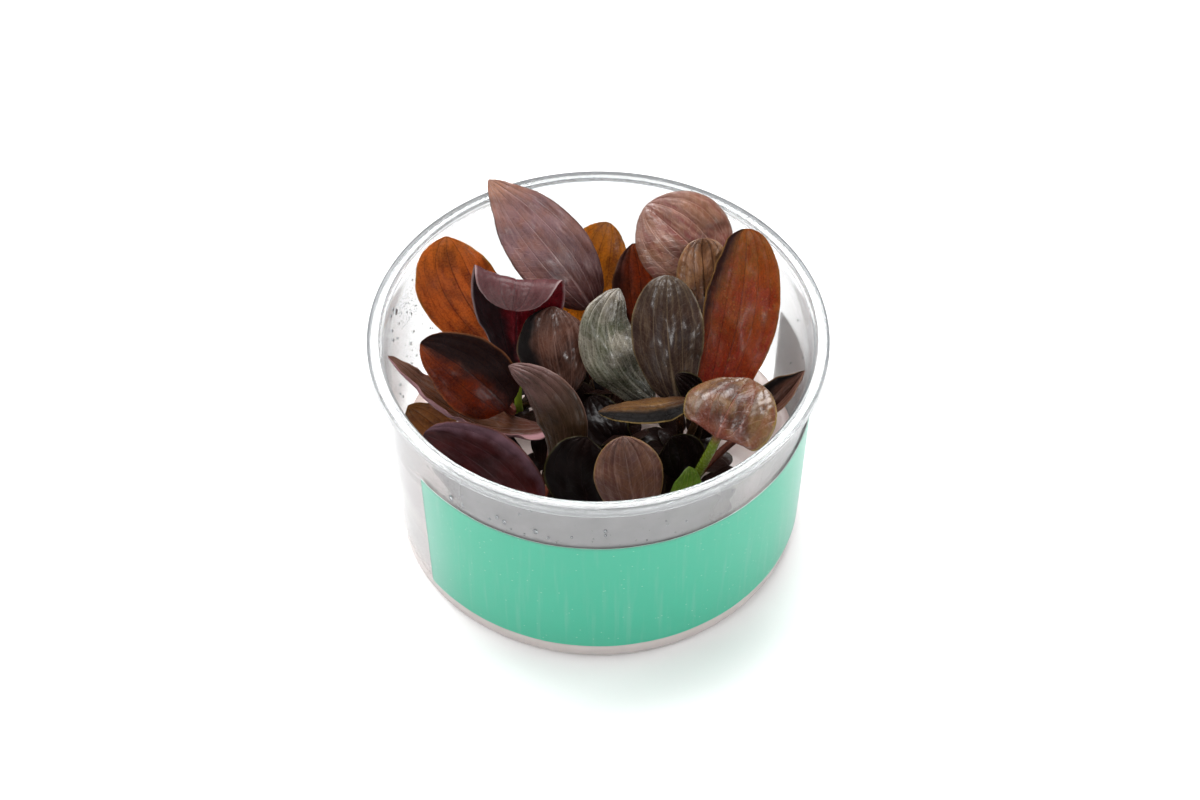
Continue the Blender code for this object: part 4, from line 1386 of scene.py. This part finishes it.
LEAVES: tuple[BladePlan, ...] = (
    BladePlan("leaf_back_tall", Plantlet.BACK, 250, (-1.5, 23.5, 43), (-11, 28, 57),
              (-25.5, 38.5, 70), (0.8, 0.45, 0.4), 18.5, Finish.SATIN_MAUVE, twist=20, point=0.2),
    BladePlan("leaf_left_orange", Plantlet.LEFT, 120, (-21, 20, 29), (-32, 23, 49), (-35, 26, 64),
              (0.85, 0.25, 0.45), 20, Finish.ORANGE, cup=25, broadest=1.15, fullness=0.55),
    BladePlan("leaf_curled_red", Plantlet.LEFT, 300, (-19, 14, 34), (-19, 18, 49), (-18, 20.5, 66),
              (-1, 0.15, 0.1), 22.5, Finish.WINE, hook=-150, hook_from=0.68, broadest=1.4,
              fullness=0.42),
    BladePlan("leaf_back_gold", Plantlet.BACK, 130, (-2, 24.5, 32), (-1.5, 29.5, 45),
              (2.5, 36.5, 58), (1, -0.1, -0.1), 18, Finish.GOLD, fullness=0.5),
    BladePlan("leaf_back_rust", Plantlet.BACK, 20, (10, 21.5, 37), (10, 27, 46.5), (8, 32.5, 55),
              (1, 0.05, 0.05), 14, Finish.DEEP_RUST),
    BladePlan("leaf_back_round", Plantlet.BACK_RIGHT, 60, (27.5, 27, 52), (19.5, 30.5, 59),
              (11, 37, 63), (0.7, 0.5, 0.45), 23, Finish.ROUND_MAUVE, cup=-10, fullness=0.5,
              lobes=0.15, crumple=0.4, quilt=0.3),
    BladePlan("leaf_back_folded", Plantlet.BACK_RIGHT, 330, (25.3, 22.8, 41.8), (24.4, 23.2, 53.3),
              (24.1, 26.1, 63.3), (1, 0.3, 0.05), 13.4, Finish.CRINKLED, fold=20, cup=-30,
              broadest=1.2, fullness=0.4, crumple=0.7, quilt=0.35),
    BladePlan("leaf_right_long", Plantlet.RIGHT, 75, (26.5, 1.5, 32), (32.6, 15.6, 48.3),
              (34.2, 29.2, 63.3), (1, -0.15, -0.15), 18.5, Finish.RUST, cup=20, curl_left=40,
              broadest=1.1, fullness=0.42),
    BladePlan("leaf_centre_olive", Plantlet.RIGHT, 150, (18, -2.5, 40), (16, 5.5, 52),
              (16, 15.5, 62), (1, 0.05, 0.05), 17, Finish.OLIVE, cup=-15, broadest=1.1,
              fullness=0.45),
    BladePlan("leaf_centre_silver", Plantlet.MIDDLE, 10, (12.5, 3.5, 33), (3, 7.5, 46),
              (5, 18, 55), (0.95, 0.3, -0.05), 15, Finish.SILVER, cup=-30, crumple=1.1,
              quilt=0.25),
    BladePlan("leaf_centre_brown", Plantlet.MIDDLE, 150, (-7.5, 3.5, 34), (-10, 9, 44),
              (-10.5, 17, 50), (1, 0.1, 0.1), 19, Finish.FOLDED_BROWN, cup=-35, broadest=1.15,
              fullness=0.5, quilt=0.3, crumple=0.5),
    BladePlan("leaf_centre_small", Plantlet.RIGHT, 320, (23.5, -1.7, 38), (21, -2.1, 43.5),
              (17.7, -1.3, 46.6), (0.75, 0.5, 0.45), 6, Finish.NEAR_BLACK),
    BladePlan("leaf_left_oval", Plantlet.LEFT, 230, (-21.3, -5.5, 40.1), (-29.8, -3.5, 50.3),
              (-40.3, -1.3, 57.4), (0.65, 0.55, 0.5), 18, Finish.RED_BROWN, cup=30, broadest=0.8,
              fullness=0.55),
    BladePlan("leaf_left_channel", Plantlet.FRONT_LEFT, 60, (-12, -4, 30.6), (-30.5, -6.4, 37.5),
              (-47.8, -2.4, 54.1), (0.15, 0.93, -0.27), 13, Finish.CHANNEL, fold=10, curl_left=60,
              broadest=0.9, fullness=0.55, wave=0.35),
    BladePlan("leaf_left_low", Plantlet.FRONT_LEFT, 240, (-33, -5.6, 27.6), (-38.5, -6.6, 36.1),
              (-43.5, -7.6, 43.1), (0.55, 0.35, 0.75), 10, Finish.DULL_GOLD),
    BladePlan("leaf_front_left_broad", Plantlet.FRONT_LEFT, 300, (-15.5, -24.5, 24),
              (-26.5, -20, 36), (-39.5, -18, 45), (0.55, 0.6, 0.55), 18.5, Finish.MAROON, cup=20,
              broadest=0.8, fullness=0.5),
    BladePlan("leaf_front_arched", Plantlet.FRONT_LEFT, 0, (-9, -19, 30), (-9, -12, 45),
              (-20.5, -3.5, 52), (0.85, 0.05, 0.5), 12, Finish.ARCHED, cup=-25),
    BladePlan("leaf_front_dark", Plantlet.FRONT, 150, (-1, -24.5, 24), (-4, -21, 36),
              (-2.5, -18, 44), (1, 0.1, 0.1), 17, Finish.NEAR_BLACK),
    BladePlan("leaf_front_brown", Plantlet.FRONT, 280, (9.5, -30.5, 27), (7, -26.5, 40),
              (5.5, -23, 50), (1, 0.15, 0.15), 16, Finish.VEINED_BROWN, cup=-20, quilt=0.28),
    BladePlan("leaf_front_strip", Plantlet.RIGHT, 245, (21.5, -7.5, 44), (10.5, -11, 46),
              (0, -12, 46), (-0.05, 0.95, -0.3), 11, Finish.STRIP, cup=-20),
    BladePlan("leaf_right_round", Plantlet.FRONT_RIGHT, 0, (26.8, -21.6, 48.6), (30, -17.2, 54),
              (34, -10.2, 55.3), (0.9, -0.3, 0.1), 22.5, Finish.BLISTERED, cup=-15, fullness=0.5,
              lobes=0.27, petiole=1.1, crumple=0.6, quilt=0.35),
    BladePlan("leaf_right_channel", Plantlet.FRONT_RIGHT, 60, (34, -9.3, 36), (41, -9.2, 45),
              (46.7, -7.6, 55), (0.55, -0.85, 0.1), 12, Finish.FOLDED_BROWN, fold=40, point=0.4),
    BladePlan("leaf_right_low", Plantlet.FRONT_RIGHT, 130, (18.7, -14, 25), (18.6, -12.6, 32),
              (16.5, -12, 37), (0.9, 0.3, 0.3), 12, Finish.NEAR_BLACK),
    BladePlan("leaf_front_green", Plantlet.FRONT_RIGHT, 240, (17.5, -27.5, 26), (19.5, -26.5, 34),
              (20.5, -25, 42), (0.9, 0.3, 0.3), 8, Finish.YOUNG_GREEN),
    BladePlan("leaf_low_wet", Plantlet.MIDDLE, 270, (6, -5.5, 25), (1.5, -0.5, 29), (-2, 6, 31),
              (0.7, 0.55, 0.5), 11, Finish.NEAR_BLACK, cup=30, crumple=0.9),
    *(BladePlan(*row, **YOUNG) for row in (
        ("leaf_low_left", Plantlet.LEFT, 0, (-13, 9.5, 25), (-9.5, 8, 29), (-5.5, 8.5, 31),
         (0.4, 0.9, 0.1), 8, Finish.NEAR_BLACK),
        ("leaf_low_back", Plantlet.BACK, 180, (-5.5, 19, 25), (-9.5, 18, 29), (-14, 18.5, 31),
         (0.1, 1, 0.1), 8, Finish.FOLDED_BROWN),
        ("leaf_low_back_right", Plantlet.BACK_RIGHT, 200, (14, 17, 26), (10.5, 14, 30),
         (7, 12.5, 32), (-0.6, 0.8, 0.1), 8, Finish.NEAR_BLACK),
        ("leaf_low_middle", Plantlet.MIDDLE, 210, (-4.5, -1.5, 26), (-8, -1.5, 31), (-11, 0.5, 34),
         (0.2, 1, 0.1), 7, Finish.YOUNG_GREEN),
        ("leaf_low_centre", Plantlet.MIDDLE, 80, (2.5, 8, 26), (3, 11.5, 31), (2, 15, 34),
         (1, 0, 0.1), 9, Finish.FOLDED_BROWN),
        ("leaf_low_front_left", Plantlet.FRONT_LEFT, 150, (-18, -7.5, 24), (-23, -5, 28),
         (-29, -3.5, 30.5), (0.3, 0.9, 0), 7, Finish.NEAR_BLACK),
        ("leaf_low_front", Plantlet.FRONT, 90, (5, -17.5, 25), (5.5, -14, 29), (5, -10.5, 31),
         (1, 0, 0.1), 8, Finish.NEAR_BLACK),
        ("leaf_low_front_olive", Plantlet.FRONT, 215, (-4, -29.5, 25), (-8.5, -29.5, 29),
         (-12.5, -29, 32), (0.1, 1, 0.1), 7, Finish.OLIVE),
        ("leaf_low_front_right", Plantlet.FRONT_RIGHT, 300, (23, -26, 25), (26.5, -27.5, 29),
         (30, -28.5, 32), (-0.4, -0.9, 0.1), 8, Finish.VEINED_BROWN),
    )),
)


# Water


@dataclass
class Condensation:
    """Drops of water on the wall, inside and out."""

    cup: CultureCup
    seed: int = 7
    stand: float = 0.02

    def patch(self, rng: np.random.Generator, count: int, turn: tuple[float, float],
              height: tuple[float, float], size: tuple[float, float]) -> list[tuple]:
        """Return seeded drops in one patch of the wall, as (angle, height, radius)."""
        angles = rng.uniform(*turn, count)
        heights = rng.uniform(*height, count)
        sizes = size[0] + (size[1] - size[0]) * rng.uniform(0.0, 1.0, count) ** 3
        return list(zip(angles, heights, sizes))

    def build(self) -> bpy.types.Object:
        """Build and dress the drops."""
        rng = np.random.default_rng(self.seed)
        inside = self.patch(rng, 150, (-118, -108), (43, 53), (0.08, 0.17))
        inside += self.patch(rng, 60, (-125, -98), (24, 56), (0.12, 0.45))
        inside += self.patch(rng, 50, (95, 250), (20, 55), (0.1, 0.4))
        inside += [(-105.5, 52.5, 0.75), (-101.5, 54.5, 0.4), (-101.0, 50.0, 0.4),
                   (-101.0, 47.0, 0.45)]
        outside = self.patch(rng, 90, (-58, 42), (43, 55), (0.08, 0.35))
        outside += [(-41.8, 44.8, 0.75), (-37.8, 44.8, 0.4), (-27.0, 46.8, 0.5),
                    (-25.0, 46.0, 0.6), (-16.3, 46.0, 0.7), (-13.0, 44.5, 0.4), (-6.8, 45.8, 0.4),
                    (1.8, 48.5, 0.55), (1.9, 46.8, 0.4)]
        drops = [(*drop, self.cup.inner(drop[1]) - self.stand - 0.34 * drop[2])
                 for drop in inside]
        drops += [(*drop, self.cup.outer(drop[1]) + self.stand + 0.34 * drop[2])
                  for drop in outside]
        together = bmesh.new()
        for angle, height, radius, reach in drops:
            turn = math.radians(angle - 90.0)
            squash = Matrix.Diagonal((0.34, 0.9, 1.25, 1.0))
            spot = Matrix.Translation((reach * math.cos(turn), reach * math.sin(turn), height))
            spin = Matrix.Rotation(turn, 4, "Z")
            bead = bmesh.new()
            bmesh.ops.create_uvsphere(bead, u_segments=10, v_segments=6, radius=radius,
                                      matrix=spot @ spin @ squash)
            add_to(together, bead)
        return finish_piece("wall_drops", together, "",
                            WaterFinish().material("drop_water"))


# Studio


# Name, place and size in metres, and power in watts
LAMPS = (
    ("key_above", (-0.10, 0.36, 0.85), (0.9, 0.55), 15.0),
    ("side_right", (0.70, 0.05, 0.50), (0.4, 0.5), 2.2),
    ("side_left", (-0.70, 0.00, 0.50), (0.4, 0.5), 2.6),
    ("front_low", (0.25, -0.85, 0.16), (0.7, 0.3), 1.6),
    ("strip_above", (-0.16, -0.34, 0.86), (0.34, 0.18), 2.0),
    ("strip_front", (-0.04, -0.74, 0.60), (0.18, 0.06), 0.8),
    ("strip_right", (0.45, -0.72, 0.34), (0.20, 0.08), 0.9),
)


@dataclass
class Studio:
    """White floor and surroundings, soft lamps and the camera."""

    camera_place: Point = (0.0004, -0.51354, 0.6132)
    target: Point = (0.0004, 0.0, 0.03646)
    lit: Point = (0.0, 0.0, 0.04)
    lens: float = 100.0
    sensor: float = 36.0

    def lamp(self, name: str, place: Point, size: tuple[float, float], power: float) -> None:
        """Hang a soft rectangular lamp that faces the plants.

        Args:
            name: The lamp's name.
            place: Where it hangs, in metres.
            size: Its width and height in metres.
            power: Its power in watts.
        """
        data = bpy.data.lights.new(name, "AREA")
        data.shape = "RECTANGLE"
        data.size, data.size_y = size
        data.energy = power
        aim(placed(name, data), place, self.lit)

    def floor(self) -> bpy.types.Object:
        """Lay the white floor."""
        graph = Graph("white_floor")
        grain = graph.cloud(graph.place(), 0.02, 2.0)
        colour = graph.blend(grain * 0.1, (0.86, 0.86, 0.86), (0.84, 0.84, 0.84))
        material = graph.finish(graph.surface({"Base Color": colour, "Roughness": 0.6}))
        maker = bmesh.new()
        bmesh.ops.create_grid(maker, x_segments=2, y_segments=2, size=3.0)
        bmesh.ops.translate(maker, vec=(0.0, 0.0, -0.0002), verts=maker.verts)
        mesh = bpy.data.meshes.new("floor")
        maker.to_mesh(mesh)
        maker.free()
        mesh.materials.append(material)
        laid = placed("floor", mesh)
        return laid

    def sky(self) -> bpy.types.World:
        """Return surroundings that are bright behind and above, and dim on the camera's side."""
        world = bpy.data.worlds.new("surroundings")
        world.use_nodes = True
        graph = Graph.of_world(world)
        _, depth, height = graph.parts(graph.field("ShaderNodeTexCoord", None, None, "Generated"))
        level = depth.rise(-0.5, 0.9) * 0.55 + 0.09
        light = graph.field("ShaderNodeBackground", None,
                            {"Color": (1.0, 1.0, 1.0), "Strength": level})
        graph.finish(light)
        return world

    def build(self) -> None:
        """Set up floor, light and camera."""
        scene = bpy.context.scene
        self.floor()
        scene.world = self.sky()
        for lamp in LAMPS:
            self.lamp(*lamp)
        data = bpy.data.cameras.new("camera")
        data.lens = self.lens
        data.sensor_width = self.sensor
        data.clip_start = 0.01
        scene.camera = placed("camera", data)
        aim(scene.camera, self.camera_place, self.target)
        scene.view_settings.view_transform = "Standard"
        scene.cycles.max_bounces = 24
        scene.cycles.transmission_bounces = 24


def main() -> None:
    """Build every piece, in order."""
    logging.basicConfig(level=logging.INFO, format="%(message)s")
    Studio().build()
    cup = CultureCup()
    cup.build()
    WrappedLabel(cup).build()
    CultureGel(cup).build()
    crown_material = CrownFinish().material("crown_fine")
    for plantlet in Plantlet:
        Crown(plantlet).build(crown_material)
    for number, plan in enumerate(LEAVES):
        material = plan.finish.value.material(plan.node + "_skin", number * 7.31)
        SwordLeaf(plan, seed=100 + number).build(material)
    # The short basal leaves are near-black, painted shade for the gaps between the stalks.
    low_material = Finish.NEAR_BLACK.value.material("basal_leaves_skin", 3.7)
    for number, plantlet in enumerate(Plantlet):
        BasalGrowth(plantlet, seed=40 + number).build(low_material)
    Condensation(cup).build()


if __name__ == "__main__":
    main()
